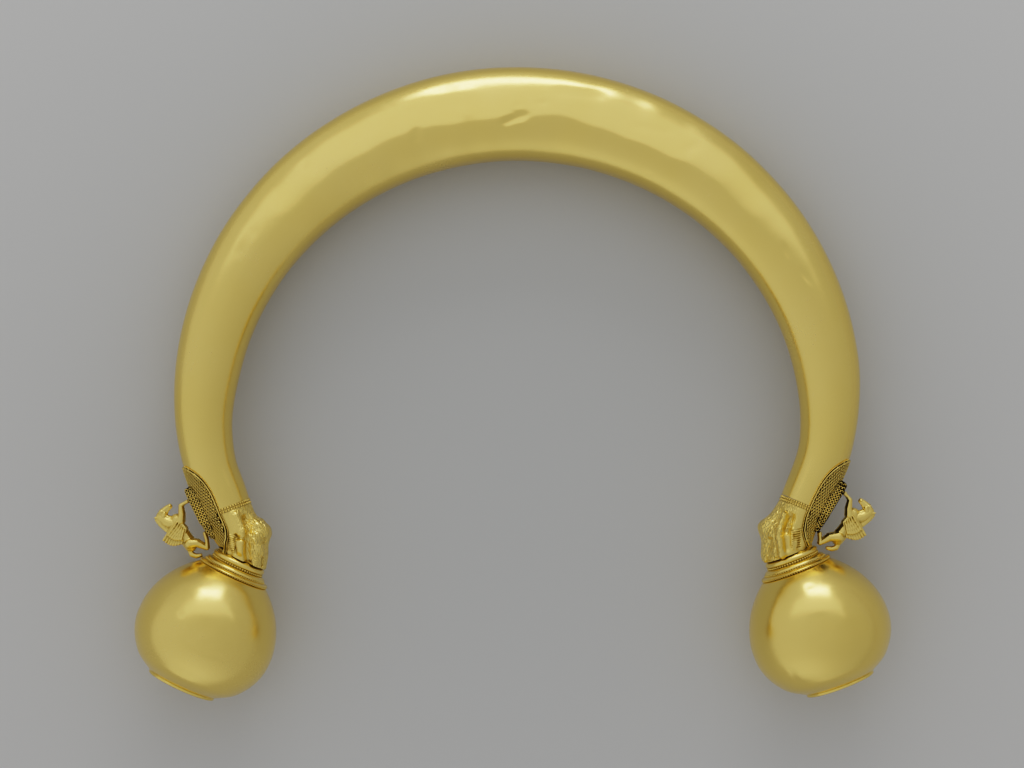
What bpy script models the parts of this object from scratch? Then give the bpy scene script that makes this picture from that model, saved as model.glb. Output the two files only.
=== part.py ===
"""Gold torc: a hollow tapering hoop that ends in lion's paws, each on a moulded collar and a pear-shaped ball.

The torc lies on its side. It is laid out in its own plane first, with X to the right, Y towards the back of the
neck and Z up out of the plane, and an empty then lays that plane on the floor. All lengths are in metres.
"""

import math

import bmesh
import bpy
from mathutils import Matrix, Vector

# Hoop, measured across the tube and to the tube's centre line.
HOOP_SIDE_RADIUS = 0.0997
HOOP_BACK_RADIUS = 0.0910
HOOP_BACK_WIDTH = 0.0298
HOOP_BACK_DEPTH = 0.0262
WRIST_WIDTH = 0.0158
WRIST_ANGLE = math.radians(110.8)
ROUND_ANGLE = math.radians(95.0)

# Near the wrists the limbs draw in, and both have been pushed a little to one side.
BEND_START = 0.88
WRIST_DRAW_IN = 0.0017
END_SHIFT = 0.0009

# Beaded band over the joint of hoop and paw.
BAND_WIDTH = 0.0018
BAND_RISE = 0.00015

# Collar, ball and cap, turned about one axis that leans away from the leg.
LEFT_LEAN_ANGLE = math.radians(46.0)
RIGHT_LEAN_ANGLE = math.radians(42.2)
COLLAR_HEIGHT = 0.0051
COLLAR_TOP_RADIUS = 0.0074
COLLAR_RIM_RADIUS = 0.0116
COLLAR_TIERS = 3
BALL_LENGTH = 0.0383
BALL_RADIUS = 0.0226
BALL_NECK_RADIUS = 0.0112
CAP_RADIUS = 0.0113
CAP_EDGE = 0.0006
CAP_RISE = 0.0006

# Paw: how far down the limb and out from its axis the middle of each sole lies, and how far the toes reach over
# the collar's edge.
LEFT_ANKLE_DOWN = 0.0160
LEFT_ANKLE_OUT = 0.0013
RIGHT_ANKLE_DOWN = 0.0144
RIGHT_ANKLE_OUT = 0.0012
TOE_OVERHANG = 0.0013

# Filigree plate on the outer side of each limb, and its raised platform. Distances run along the limb from the
# wrist, with minus towards the hoop.
PLATE_TOP = -0.0180
PLATE_BOTTOM = 0.0103
PLATE_THICKNESS = 0.0006
PLATE_HALF_ANGLE = math.radians(71.0)
PLATFORM_TOP = -0.0108
PLATFORM_BOTTOM = 0.0074
PLATFORM_HALF_WIDTH = 0.0050
PLATFORM_FRONT_HEIGHT = 0.0024
PLATFORM_REAR_HEIGHT = 0.0008
PLATFORM_WALL = 0.0002
PLATE_TIP = 0.0004

# The right plate and its horse sit higher up the limb, and the platform's front is lower there.
RIGHT_SHIFT = -0.0023
RIGHT_FRONT_DROP = 0.0008

# Winged horse on the platform.
HORSE_HEIGHT = 0.0121
FORE_HOOF_AT = -0.0061
HIND_HOOF_AT = 0.0038
HORSE_VOXEL = 0.00022
HORSE_TRIANGLES = 860

# Fits and rest.
FIT_GAP = 0.0003
FLAT_DEPTH = 0.0003

# How finely the round forms are faceted.
HOOP_SIDES = 20
HOOP_STEPS = 44
TURNED_SIDES = 28
BALL_STEPS = 12

WRIST_RADIUS = WRIST_WIDTH / 2
BAND_HALF = BAND_WIDTH / 2
LEG_START = BAND_HALF + FIT_GAP
PLATE_GAP = BAND_RISE + FIT_GAP
UP = Vector((0, 0, 1))

# Side outline of the paw as shares of the wrist's radius: how far down the leg, and how far out from its axis, the
# heel and the toes lie at each section, and the section's half width.
PAW_SECTIONS = (
    ((0.35, 0.95), (0.62, -1.18), 1.01),
    ((0.67, 0.90), (1.15, -1.44), 1.05),
    ((0.90, 0.86), (1.55, -1.42), 1.10),
    ((1.09, 0.82), (1.92, -1.22), 1.10),
    ((1.26, 0.78), (2.36, -0.98), 1.06),
)
PAW_STEPS = 10
SOLE_HALF_WIDTH = 1.02

# Where the paw's outline has its points round each section, from the middle toes (0) to the heel (180), and the
# grooves between the toes: angle, depth, spread, and how far down the paw each one starts.
PAW_ANGLES = (0, 17, 36, 54, 67, 76, 85, 96, 106, 114, 128, 144, 162, 180)
TOE_GROOVES = ((0, 0.05, 9, 0.35), (36, 0.05, 8, 0.70), (76, 0.15, 9, 0.20), (106, 0.08, 8, 0.35))
TOE_SWELL = ((54, 0.04, 16, 0.35), (92, 0.05, 10, 0.45))

# Half outline of the ball, collar end first: share of its length, share of its radius. The ends take their radii
# from the collar and the cap.
BALL_OUTLINE = (
    (0.078, 0.645), (0.19, 0.802), (0.32, 0.920), (0.45, 0.985), (0.56, 1.000), (0.66, 0.985), (0.76, 0.928),
    (0.85, 0.834), (0.925, 0.715),
)

# The horse on a grid of 38 units to its height: forward, up, sideways, radius.
HORSE_GRID = 38
HORSE_MIDDLE = (
    ((7, 21.5, 0, 6.6), (-2, 22, 0, 6.4), (-11, 22.8, 0, 5.8), (-19, 23.2, 0, 6.4), (-23, 21.5, 0, 5.2)),
    ((5, 24, 0, 6.0), (11, 29, 0, 5.0), (16.5, 32, 0, 4.2)),
    ((18.5, 32.5, 0, 3.9), (21.5, 26.5, 0, 3.5), (23.6, 19.6, 0, 2.4)),
    ((0, 29, 0, 2.2), (6, 34.4, 0, 2.3), (12, 36.6, 0, 2.0), (18, 36.6, 0, 1.7)),
    ((-25, 24, 0, 2.6), (-30.5, 24.5, 0, 2.8), (-33.6, 21.8, 0, 2.7)),
)
HORSE_PAIRED = (
    ((19, 35.6, 1.8, 1.3), (20.2, 38.2, 2.3, 0.8)),
    ((4, 17.5, 3.2, 4.6), (9, 13.4, 3.6, 3.4), (17.8, 8.4, 3.6, 2.6), (17.8, 4, 3.4, 1.8), (17, 2, 3.4, 2.0)),
    ((-20, 20, 3.4, 5.8), (-22, 14.4, 4.0, 4.3), (-30, 8.8, 4.0, 2.4), (-24, 5.4, 3.8, 1.8), (-17.6, 2, 3.8, 2.0)),
)
FEATHERS = 6
WING_ROOT = ((7.5, 16.5, 5.6), (-6.5, 19.5, 5.6))
WING_TIP = ((-2.0, 41.5, 9.5), (-13.5, 29.0, 8.5))
FEATHER_RADII = (2.0, 1.4)

ROUGHNESS = {"polished": 0.16, "chased": 0.28, "filigree": 0.34, "cast": 0.30}
COLOURS = {
    "polished": (0.72, 0.52, 0.15),
    "chased": (0.70, 0.50, 0.14),
    "filigree": (0.58, 0.40, 0.11),
    "cast": (0.74, 0.52, 0.17),
}


def clear_scene():
    for old in list(bpy.data.objects):
        bpy.data.objects.remove(old, do_unlink=True)


def gold(part_name, finish):
    """One gold per part, so that each can be given its own finish."""
    material = bpy.data.materials.new(f"{part_name}_{finish}_gold")
    material.use_nodes = True
    shader = material.node_tree.nodes["Principled BSDF"]
    shader.inputs["Base Color"].default_value = (*COLOURS[finish], 1)
    shader.inputs["Metallic"].default_value = 1.0
    shader.inputs["Roughness"].default_value = ROUGHNESS[finish]
    return material


def add_object(name, mesh_data, finish):
    """Puts a finished bmesh into the scene as one object, facing out and shaded smooth where it is round."""
    bmesh.ops.recalc_face_normals(mesh_data, faces=mesh_data.faces)
    mesh = bpy.data.meshes.new(name)
    mesh_data.to_mesh(mesh)
    mesh_data.free()
    mesh.shade_smooth()
    mesh.set_sharp_from_angle(angle=math.radians(40))
    mesh.materials.append(gold(name, finish))
    obj = bpy.data.objects.new(name, mesh)
    bpy.context.scene.collection.objects.link(obj)
    return obj


def mix(a, b, share):
    return a + (b - a) * share


def ease(angle, end, power):
    """Falls from 1 at the back of the hoop to 0 at the end angle."""
    share = min(abs(angle) / end, 1.0)
    return ((1 + math.cos(math.pi * share)) / 2) ** power


def smooth_step(share):
    share = min(max(share, 0.0), 1.0)
    return share * share * (3 - 2 * share)


def curve_through(points, count):
    """Evenly indexed points on a Catmull-Rom curve through the given ones, ends included."""
    ends = [points[0] * 2 - points[1], *points, points[-1] * 2 - points[-2]]
    found = []
    for i in range(count):
        place = i * (len(points) - 1) / (count - 1)
        k = min(int(place), len(points) - 2)
        t = place - k
        a, b, c, d = ends[k : k + 4]
        found.append(
            (b * 2 + (c - a) * t + (a * 2 - b * 5 + c * 4 - d) * t**2 + (b * 3 - a - c * 3 + d) * t**3) / 2
        )
    return found


def loft(rings):
    """A closed skin over rings of equally many points, with a flat face over each end."""
    mesh = bmesh.new()
    rows = [[mesh.verts.new(point) for point in ring] for ring in rings]
    count = len(rows[0])
    for near, far in zip(rows, rows[1:]):
        for i in range(count):
            j = (i + 1) % count
            mesh.faces.new((near[i], near[j], far[j], far[i]))
    mesh.faces.new(rows[0])
    mesh.faces.new(rows[-1])
    return mesh


def turned(origin, axis, profile, sides):
    """A body of revolution: profile holds (distance along the axis, radius), from one end to the other."""
    across = axis.cross(UP).normalized()
    rings = []
    for distance, radius in profile:
        centre = origin + axis * distance
        turns = [2 * math.pi * i / sides for i in range(sides)]
        rings.append([centre + (across * math.cos(t) + UP * math.sin(t)) * radius for t in turns])
    return loft(rings)


class Limb:
    """One half of the hoop and its paw: side is -1 for the left and 1 for the right."""

    def __init__(self, side):
        self.side = side
        self.shift = 0 if side < 0 else RIGHT_SHIFT
        self.platform_front = PLATFORM_FRONT_HEIGHT - (0 if side < 0 else RIGHT_FRONT_DROP)
        self.wrist, self.down, self.out = self.frame(WRIST_ANGLE)
        self.half_width, self.half_depth = self.half_sizes(WRIST_ANGLE)
        angle = LEFT_LEAN_ANGLE if side < 0 else RIGHT_LEAN_ANGLE
        self.lean = self.down * math.cos(angle) + self.out * math.sin(angle)
        self.sole_out = self.out * math.cos(angle) - self.down * math.sin(angle)
        if side < 0:
            self.ankle = self.local(LEFT_ANKLE_DOWN, LEFT_ANKLE_OUT)
        else:
            self.ankle = self.local(RIGHT_ANKLE_DOWN, RIGHT_ANKLE_OUT)

    def centre(self, angle):
        bend = smooth_step((angle / WRIST_ANGLE - BEND_START) / (1 - BEND_START))
        radius = mix(HOOP_SIDE_RADIUS, HOOP_BACK_RADIUS, ease(angle, ROUND_ANGLE, 0.7)) - WRIST_DRAW_IN * bend
        return Vector((self.side * radius * math.sin(angle) - END_SHIFT * bend, radius * math.cos(angle), 0))

    def frame(self, angle):
        """Centre of the tube, the direction down the limb, and the direction out of the hoop."""
        step = math.radians(0.5)
        down = (self.centre(angle + step) - self.centre(angle - step)).normalized()
        return self.centre(angle), down, down.cross(UP) * -self.side

    def half_sizes(self, angle):
        swell = ease(angle, WRIST_ANGLE, 0.52)
        return mix(WRIST_WIDTH, HOOP_BACK_WIDTH, swell) / 2, mix(WRIST_WIDTH, HOOP_BACK_DEPTH, swell) / 2

    def local(self, along, out):
        return self.wrist + self.down * along + self.out * out

    def hoop_section(self, distance):
        """Heel point, toe point and half depth of the tube at a distance up the limb, which is below zero."""
        angle = WRIST_ANGLE + distance / HOOP_SIDE_RADIUS
        centre, _, out = self.frame(angle)
        wide, deep = self.half_sizes(angle)
        return centre + out * wide, centre - out * wide, deep

    def paw_sections(self):
        """Heel point, toe point and half depth of each section that shapes the paw, from wrist to sole."""
        heel = Vector((LEG_START, WRIST_RADIUS))
        toe = Vector((LEG_START, -WRIST_RADIUS))
        rows = [(self.local(*heel), self.local(*toe), WRIST_RADIUS)]
        for heel, toe, deep in PAW_SECTIONS:
            heel, toe = Vector(heel) * WRIST_RADIUS, Vector(toe) * WRIST_RADIUS
            rows.append((self.local(*heel), self.local(*toe), deep * WRIST_RADIUS))
        heel = self.ankle + self.sole_out * (COLLAR_TOP_RADIUS - FIT_GAP)
        toe = self.ankle - self.sole_out * (COLLAR_TOP_RADIUS + TOE_OVERHANG)
        rows.append((heel, toe, SOLE_HALF_WIDTH * WRIST_RADIUS))
        return rows

    def section(self, distance):
        """Heel point, toe point and half depth of the limb at any distance along its outer side."""
        if distance <= -LEG_START:
            return self.hoop_section(distance)
        rows = self.paw_sections()
        places = [(heel - self.local(0, WRIST_RADIUS)).length for heel, _, _ in rows]
        rows, places = [self.hoop_section(-LEG_START), *rows], [-LEG_START, *places]
        k = 0
        while k < len(rows) - 2 and distance > places[k + 1]:
            k += 1
        share = min((distance - places[k]) / (places[k + 1] - places[k]), 1.0)
        return tuple(mix(a, b, share) for a, b in zip(rows[k], rows[k + 1]))

    def on_surface(self, distance, sideways, height):
        """A point a height above the limb's outer side, a distance along it and some way to one side."""
        heel, toe, deep = self.section(distance)
        out = (heel - toe).normalized()
        wide = (heel - toe).length / 2 + height
        share = sideways / (deep + height)
        return (heel + toe) / 2 + out * wide * math.sqrt(max(1 - share**2, 0)) + UP * sideways

    def platform_point(self, distance, sideways):
        """A point on the flat top of the filigree platform."""
        share = (distance - self.shift - PLATFORM_TOP) / (PLATFORM_BOTTOM - PLATFORM_TOP)
        heel, toe, _ = self.section(distance)
        height = mix(self.platform_front, PLATFORM_REAR_HEIGHT, share)
        return heel + (heel - toe).normalized() * height + UP * sideways


def build_hoop():
    """The tube from wrist to wrist, an ellipse in section that is round at the wrists."""
    rings = []
    for i in range(HOOP_STEPS + 1):
        turn = mix(-1.0, 1.0, i / HOOP_STEPS)
        limb = Limb(-1 if turn < 0 else 1)
        end = WRIST_ANGLE - LEG_START / HOOP_SIDE_RADIUS
        angle = abs(turn) * end
        centre, _, out = limb.frame(angle)
        wide, deep = limb.half_sizes(angle)
        if i == HOOP_STEPS // 2:
            out = Vector((0, 1, 0))
        turns = [2 * math.pi * k / HOOP_SIDES for k in range(HOOP_SIDES)]
        rings.append([centre + out * wide * math.cos(t) + UP * deep * math.sin(t) for t in turns])
    return add_object("hoop", loft(rings), "polished")


def build_band(limb, prefix):
    """A short drum with two rounded ridges, between the hoop's end and the paw."""
    outer = WRIST_RADIUS + BAND_RISE
    groove = WRIST_RADIUS - BAND_RISE
    shares = ((-1.0, groove), (-0.8, outer), (-0.25, outer), (0, groove), (0.25, outer), (0.8, outer), (1.0, groove))
    profile = [(share * BAND_HALF, radius) for share, radius in shares]
    return add_object(f"{prefix}_wrist_band", turned(limb.wrist, limb.down, profile, TURNED_SIDES), "chased")


def toe_shape(angle, down_share):
    """How far the paw's skin stands in or out at an angle from the middle toes, as a share of the section."""
    shape = 1.0
    for sign, marks in ((-1, TOE_GROOVES), (1, TOE_SWELL)):
        for centre, depth, spread, start in marks:
            reach = smooth_step((down_share - start) / 0.25)
            shape += sign * depth * reach * math.exp(-(((angle - centre) / spread) ** 2))
    return shape


def build_paw(limb, prefix):
    """Sections fan out from the heel to the toes, and the toes are grooved and swollen into them."""
    rows = limb.paw_sections()
    heels = curve_through([row[0] for row in rows], PAW_STEPS)
    toes = curve_through([row[1] for row in rows], PAW_STEPS)
    depths = curve_through([Vector((row[2], 0)) for row in rows], PAW_STEPS)
    angles = [*PAW_ANGLES, *(-angle for angle in reversed(PAW_ANGLES[1:-1]))]
    rings = []
    for i, (heel, toe, deep) in enumerate(zip(heels, toes, depths)):
        centre, forward = (heel + toe) / 2, (toe - heel) / 2
        ring = []
        for angle in angles:
            shape = toe_shape(abs(angle), i / (PAW_STEPS - 1))
            turn = math.radians(angle)
            ring.append(centre + (forward * math.cos(turn) + UP * deep.x * math.sin(turn)) * shape)
        rings.append(ring)
    return add_object(f"{prefix}_paw", loft(rings), "chased")


def collar_profile():
    """Rounded tiers that step out from the paw to the rim."""
    profile = [(0, COLLAR_TOP_RADIUS)]
    tier = COLLAR_HEIGHT / COLLAR_TIERS
    for i in range(COLLAR_TIERS):
        inner = mix(COLLAR_TOP_RADIUS, COLLAR_RIM_RADIUS, i / COLLAR_TIERS)
        outer = mix(COLLAR_TOP_RADIUS, COLLAR_RIM_RADIUS, (i + 1) / COLLAR_TIERS)
        profile.append((tier * (i + 0.25), mix(inner, outer, 0.75)))
        profile.append((tier * (i + 0.65), outer))
        profile.append((tier * (i + 0.92), mix(inner, outer, 0.8)))
    profile.append((COLLAR_HEIGHT, mix(COLLAR_TOP_RADIUS, COLLAR_RIM_RADIUS, 0.95)))
    return profile


def build_collar(limb, prefix):
    origin = limb.ankle + limb.lean * FIT_GAP
    return add_object(f"{prefix}_collar", turned(origin, limb.lean, collar_profile(), TURNED_SIDES), "chased")


def ball_origin(limb):
    return limb.ankle + limb.lean * (COLLAR_HEIGHT + 2 * FIT_GAP)


def ball_profile():
    """Distance and radius pairs down the ball, drawn through its outline."""
    corners = [Vector((0, BALL_NECK_RADIUS))]
    corners += [Vector((along * BALL_LENGTH, share * BALL_RADIUS)) for along, share in BALL_OUTLINE]
    corners.append(Vector((BALL_LENGTH, CAP_RADIUS)))
    return [tuple(point) for point in curve_through(corners, BALL_STEPS)]


def build_ball(limb, prefix):
    body = turned(ball_origin(limb), limb.lean, ball_profile(), TURNED_SIDES)
    return add_object(f"{prefix}_ball", body, "polished")


def build_cap(limb, prefix):
    """The thin lid over the open end of the ball, slightly domed."""
    origin = ball_origin(limb) + limb.lean * (BALL_LENGTH + FIT_GAP)
    profile = ((0, CAP_RADIUS), (CAP_EDGE, CAP_RADIUS), (CAP_EDGE + CAP_RISE * 0.7, CAP_RADIUS * 0.6))
    profile += ((CAP_EDGE + CAP_RISE, CAP_RADIUS * 0.2),)
    return add_object(f"{prefix}_ball_cap", turned(origin, limb.lean, profile, TURNED_SIDES), "polished")


def plate_half_width(distance, deep):
    """How far the plate reaches to each side at a distance along the limb: an oval wrapped round the tube."""
    middle, half = (PLATE_TOP + PLATE_BOTTOM) / 2, (PLATE_BOTTOM - PLATE_TOP) / 2
    share = abs(distance - middle) / half
    angle = PLATE_HALF_ANGLE * max(1 - share**3, 0) ** 0.45
    return deep * math.sin(angle)


def platform_half_width(distance):
    middle, half = (PLATFORM_TOP + PLATFORM_BOTTOM) / 2, (PLATFORM_BOTTOM - PLATFORM_TOP) / 2
    share = min(abs(distance - middle) / half, 1.0)
    return PLATFORM_HALF_WIDTH * mix(0.55, 1.0, (1 - share**3) ** 0.5)


def plate_rows():
    """Distances along the limb at which the plate has a row of points, closer at the platform's end walls."""
    above = [mix(PLATE_TOP + PLATE_TIP, PLATFORM_TOP - PLATFORM_WALL, i / 4) for i in range(5)]
    raised = [mix(PLATFORM_TOP, PLATFORM_BOTTOM, i / 6) for i in range(7)]
    below = [mix(PLATFORM_BOTTOM + PLATFORM_WALL, PLATE_BOTTOM - PLATE_TIP, i / 2) for i in range(3)]
    rows = [(place, False) for place in above] + [(place, True) for place in raised]
    return rows + [(place, False) for place in below]


def build_plate(limb, prefix):
    """One openwork piece, solid here: a thin saddle on the limb with a flat-topped platform for the horse."""
    mesh = bmesh.new()
    tops, bottoms = [], []
    for place, raised in plate_rows():
        distance = place + limb.shift
        deep = limb.section(distance)[2]
        edge = plate_half_width(place, deep)
        wall = min(platform_half_width(place), edge * 0.72)
        foot = mix(wall, edge, 0.12)
        half = [0, wall * 0.5, wall, foot, mix(foot, edge, 0.45), mix(foot, edge, 0.8), edge]
        across = [-x for x in reversed(half[1:])] + half
        top, bottom = [], []
        for sideways in across:
            if raised and abs(sideways) <= wall:
                point = limb.platform_point(distance, sideways)
            else:
                point = limb.on_surface(distance, sideways, PLATE_GAP + PLATE_THICKNESS)
            top.append(mesh.verts.new(point))
            bottom.append(mesh.verts.new(limb.on_surface(distance, sideways, PLATE_GAP)))
        tops.append(top)
        bottoms.append(bottom)
    for layer in (tops, bottoms):
        for near, far in zip(layer, layer[1:]):
            for i in range(len(near) - 1):
                mesh.faces.new((near[i], near[i + 1], far[i + 1], far[i]))
    edges = [
        [(row[0], under[0]) for row, under in zip(tops, bottoms)],
        [(row[-1], under[-1]) for row, under in zip(tops, bottoms)],
        list(zip(tops[0], bottoms[0])),
        list(zip(tops[-1], bottoms[-1])),
    ]
    for edge in edges:
        for (a, b), (c, d) in zip(edge, edge[1:]):
            mesh.faces.new((a, b, d, c))
    return add_object(f"{prefix}_filigree_plate", mesh, "filigree")


def add_capsule(mesh, start, end, start_radius, end_radius):
    """A tapering rod with round ends."""
    direction = (end - start).normalized()
    to_rod = direction.to_track_quat("Z", "Y").to_matrix().to_4x4()
    for place, radius in ((start, start_radius), (end, end_radius)):
        bmesh.ops.create_uvsphere(
            mesh, u_segments=16, v_segments=10, radius=radius, matrix=Matrix.Translation(place)
        )
    bmesh.ops.create_cone(
        mesh,
        cap_ends=True,
        segments=16,
        radius1=start_radius,
        radius2=end_radius,
        depth=(end - start).length,
        matrix=Matrix.Translation((start + end) / 2) @ to_rod,
    )


def horse_chains():
    """Every limb of the horse as a chain of (forward, up, sideways, radius), in grid units."""
    chains = [list(chain) for chain in HORSE_MIDDLE]
    for flip in (-1, 1):
        for chain in HORSE_PAIRED:
            chains.append([(f, u, z * flip, r) for f, u, z, r in chain])
        for i in range(FEATHERS):
            share = i / (FEATHERS - 1)
            root = [mix(a, b, share) for a, b in zip(*WING_ROOT)]
            tip = [mix(a, b, share) for a, b in zip(*WING_TIP)]
            bow = math.sin(math.pi * share) * 2.0
            chains.append(
                [
                    (root[0], root[1], root[2] * flip, FEATHER_RADII[0]),
                    (tip[0] - bow, tip[1] + bow, tip[2] * flip, FEATHER_RADII[1]),
                ]
            )
    return chains


def build_horse(limb, prefix):
    """The horse is massed from tapering rods, fused by a remesh, smoothed and thinned to a few facets."""
    fore = limb.platform_point(FORE_HOOF_AT + limb.shift, 0)
    hind = limb.platform_point(HIND_HOOF_AT + limb.shift, 0)
    forward = (fore - hind).normalized()
    up = limb.out - forward * limb.out.dot(forward)
    up.normalize()
    origin = (fore + hind) / 2 + up * FIT_GAP
    unit = HORSE_HEIGHT / HORSE_GRID
    mesh = bmesh.new()
    for chain in horse_chains():
        for (f0, u0, z0, r0), (f1, u1, z1, r1) in zip(chain, chain[1:]):
            start = origin + (forward * f0 + up * u0 + UP * z0) * unit
            end = origin + (forward * f1 + up * u1 + UP * z1) * unit
            add_capsule(mesh, start, end, r0 * unit, r1 * unit)
    horse = add_object(f"{prefix}_winged_horse", mesh, "cast")
    remesh = horse.modifiers.new("fuse the rods", "REMESH")
    remesh.mode = "VOXEL"
    remesh.voxel_size = HORSE_VOXEL
    remesh.use_smooth_shade = True
    soften = horse.modifiers.new("soften the joins", "SMOOTH")
    soften.factor = 0.5
    soften.iterations = 2
    bpy.context.view_layer.update()
    evaluated = horse.evaluated_get(bpy.context.evaluated_depsgraph_get())
    triangles = sum(len(face.vertices) - 2 for face in evaluated.data.polygons)
    thin = horse.modifiers.new("few facets", "DECIMATE")
    thin.ratio = HORSE_TRIANGLES / triangles
    return horse


def rest_matrix():
    """Turns and lifts the torc's plane so that both balls and the back of the hoop come down on the floor."""
    middle_share = 0.56
    balls = [ball_origin(limb) + limb.lean * BALL_LENGTH * middle_share for limb in (Limb(-1), Limb(1))]
    ball_y = sum(ball.y for ball in balls) / 2
    tilt = math.asin((BALL_RADIUS - HOOP_BACK_DEPTH / 2) / (HOOP_BACK_RADIUS - ball_y))
    turn = Matrix.Rotation(-tilt, 4, "X")
    ball_height = (turn @ Vector((0, ball_y, 0))).z
    return Matrix.Translation((0, 0, BALL_RADIUS - FLAT_DEPTH - ball_height)) @ turn


def cut_flat(obj, to_floor):
    """Cuts off what would reach under the floor, which leaves a small flat spot to rest on."""
    to_plane = to_floor.inverted()
    mesh = bmesh.new()
    mesh.from_mesh(obj.data)
    found = bmesh.ops.bisect_plane(
        mesh,
        geom=[*mesh.verts, *mesh.edges, *mesh.faces],
        plane_co=to_plane @ Vector((0, 0, 0)),
        plane_no=to_plane.to_3x3() @ Vector((0, 0, -1)),
        clear_outer=True,
    )
    rim = [item for item in found["geom_cut"] if isinstance(item, bmesh.types.BMEdge)]
    bmesh.ops.edgeloop_fill(mesh, edges=rim)
    bmesh.ops.recalc_face_normals(mesh, faces=mesh.faces)
    mesh.to_mesh(obj.data)
    mesh.free()


def lay_down(parts):
    """Parents every part to one empty that lays the torc on the floor, with its outline centred on the origin."""
    to_floor = rest_matrix()
    for part in parts:
        if part.name == "hoop" or part.name.endswith("_ball"):
            cut_flat(part, to_floor)
    corners = [to_floor @ vertex.co for part in parts for vertex in part.data.vertices]
    middle = [(min(c[i] for c in corners) + max(c[i] for c in corners)) / 2 for i in (0, 1)]
    torc = bpy.data.objects.new("torc", None)
    bpy.context.scene.collection.objects.link(torc)
    torc.matrix_world = Matrix.Translation((-middle[0], -middle[1], 0)) @ to_floor
    for part in parts:
        part.parent = torc


def main():
    clear_scene()
    parts = [build_hoop()]
    for side, prefix in ((-1, "left"), (1, "right")):
        limb = Limb(side)
        for build in (build_band, build_paw, build_collar, build_ball, build_cap, build_plate, build_horse):
            parts.append(build(limb, prefix))
    lay_down(parts)


main()
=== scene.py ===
# %% [markdown]
# A gold torc that ends in lion's paws
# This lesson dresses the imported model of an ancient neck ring: a hollow, tapering hoop of sheet gold whose two ends
# turn into lion's paws. Each paw rests on a moulded collar above a big pear-shaped ball, and a winged horse stands on
# a filigree plate on the outer side of each ankle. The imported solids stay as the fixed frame. Everything below is
# modelled finer in the same place, and stands for one of them.

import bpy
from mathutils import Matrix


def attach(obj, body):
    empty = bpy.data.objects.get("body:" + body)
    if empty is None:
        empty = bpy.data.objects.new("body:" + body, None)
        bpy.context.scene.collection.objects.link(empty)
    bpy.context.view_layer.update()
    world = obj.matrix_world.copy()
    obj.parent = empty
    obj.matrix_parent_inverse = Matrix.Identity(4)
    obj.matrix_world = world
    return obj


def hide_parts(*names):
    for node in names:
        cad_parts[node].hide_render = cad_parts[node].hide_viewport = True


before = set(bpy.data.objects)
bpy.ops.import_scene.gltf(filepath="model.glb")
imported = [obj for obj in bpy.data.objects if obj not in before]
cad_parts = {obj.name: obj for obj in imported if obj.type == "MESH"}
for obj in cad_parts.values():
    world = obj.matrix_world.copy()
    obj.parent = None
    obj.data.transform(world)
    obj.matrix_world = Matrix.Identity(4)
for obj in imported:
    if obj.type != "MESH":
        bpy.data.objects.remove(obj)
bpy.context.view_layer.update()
print("nodes in the frame:", sorted(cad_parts))

# %% Bring in Blender's own tools
import itertools
import math

import bpy
import numpy as np
from mathutils import Matrix, Vector, noise
from mathutils.bvhtree import BVHTree

# %% [markdown]
# The torc's own plane
# Everything is laid out as the goldsmith would see it: X to the right, Y to the back of the neck, and Z up out of the
# hoop's plane. One matrix then tips that plane so that both balls and the back of the hoop touch the floor. Working
# in the object's own plane keeps left and right alike, and makes it easy to check against the solids.

# %% Measures of the hoop
UP = Vector((0, 0, 1))
TO_FLOOR = Matrix.Translation((0.0015104, -0.0050961, 0.0180268)) @ Matrix.Rotation(math.radians(-3.2927), 4, "X")
HOOP_SIDE_RADIUS = 0.0997
HOOP_BACK_RADIUS = 0.0910
HOOP_BACK_WIDTH = 0.0298
HOOP_BACK_DEPTH = 0.0262
WRIST_RADIUS = 0.0079
WRIST_ANGLE = math.radians(110.8)
ROUND_ANGLE = math.radians(95.0)
BEND_START = 0.88
WRIST_DRAW_IN = 0.0017
END_SHIFT = 0.0009
FIT_GAP = 0.0003
LEG_START = 0.0009


def mix(a, b, share):
    return a + (b - a) * share


def smooth_step(share):
    share = min(max(share, 0.0), 1.0)
    return share * share * (3 - 2 * share)


def ease(angle, end, power):
    """Falls from 1 at the back of the hoop to 0 at the end angle."""
    share = min(abs(angle) / end, 1.0)
    return ((1 + math.cos(math.pi * share)) / 2) ** power


def curve_through(points, count):
    """Evenly indexed points on a smooth curve through the given ones, ends included."""
    ends = [points[0] * 2 - points[1], *points, points[-1] * 2 - points[-2]]
    found = []
    for i in range(count):
        place = i * (len(points) - 1) / (count - 1)
        k = min(int(place), len(points) - 2)
        t = place - k
        a, b, c, d = ends[k : k + 4]
        found.append((b * 2 + (c - a) * t + (a * 2 - b * 5 + c * 4 - d) * t**2 + (b * 3 - a - c * 3 + d) * t**3) / 2)
    return found


# %% [markdown]
# One limb, described once
# Each half of the hoop follows the same rules on the left and on the right, so a small class holds them: where the
# tube's centre runs, how thick it is, and how the paw's heel and toes fan out below the wrist. The pieces then only
# ask it for places.

# %% The two limbs
PAW_HEELS = ((0.35, 0.95), (0.67, 0.90), (0.90, 0.86), (1.09, 0.82), (1.26, 0.78))
PAW_TOES = {
    "left": ((0.62, -1.03), (1.15, -1.25), (1.53, -1.36), (1.88, -1.08), (2.36, -0.87)),
    "right": ((0.64, -1.16), (1.05, -1.40), (1.33, -1.43), (1.78, -1.09), (2.36, -0.87)),
}
PAW_HALF_DEPTHS = (1.01, 1.05, 1.10, 1.10, 1.06)
HEEL_SHARES = (1.0, 1.0, 0.7, 0.35, 0.0)
COLLAR_TOP_RADIUS = 0.0074
TOE_OVERHANG = 0.0013
SOLE_HALF_WIDTH = 1.02
SOLE_STEP = 0.0004
PLATFORM_TOP = -0.0108
PLATFORM_BOTTOM = 0.0074


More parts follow.
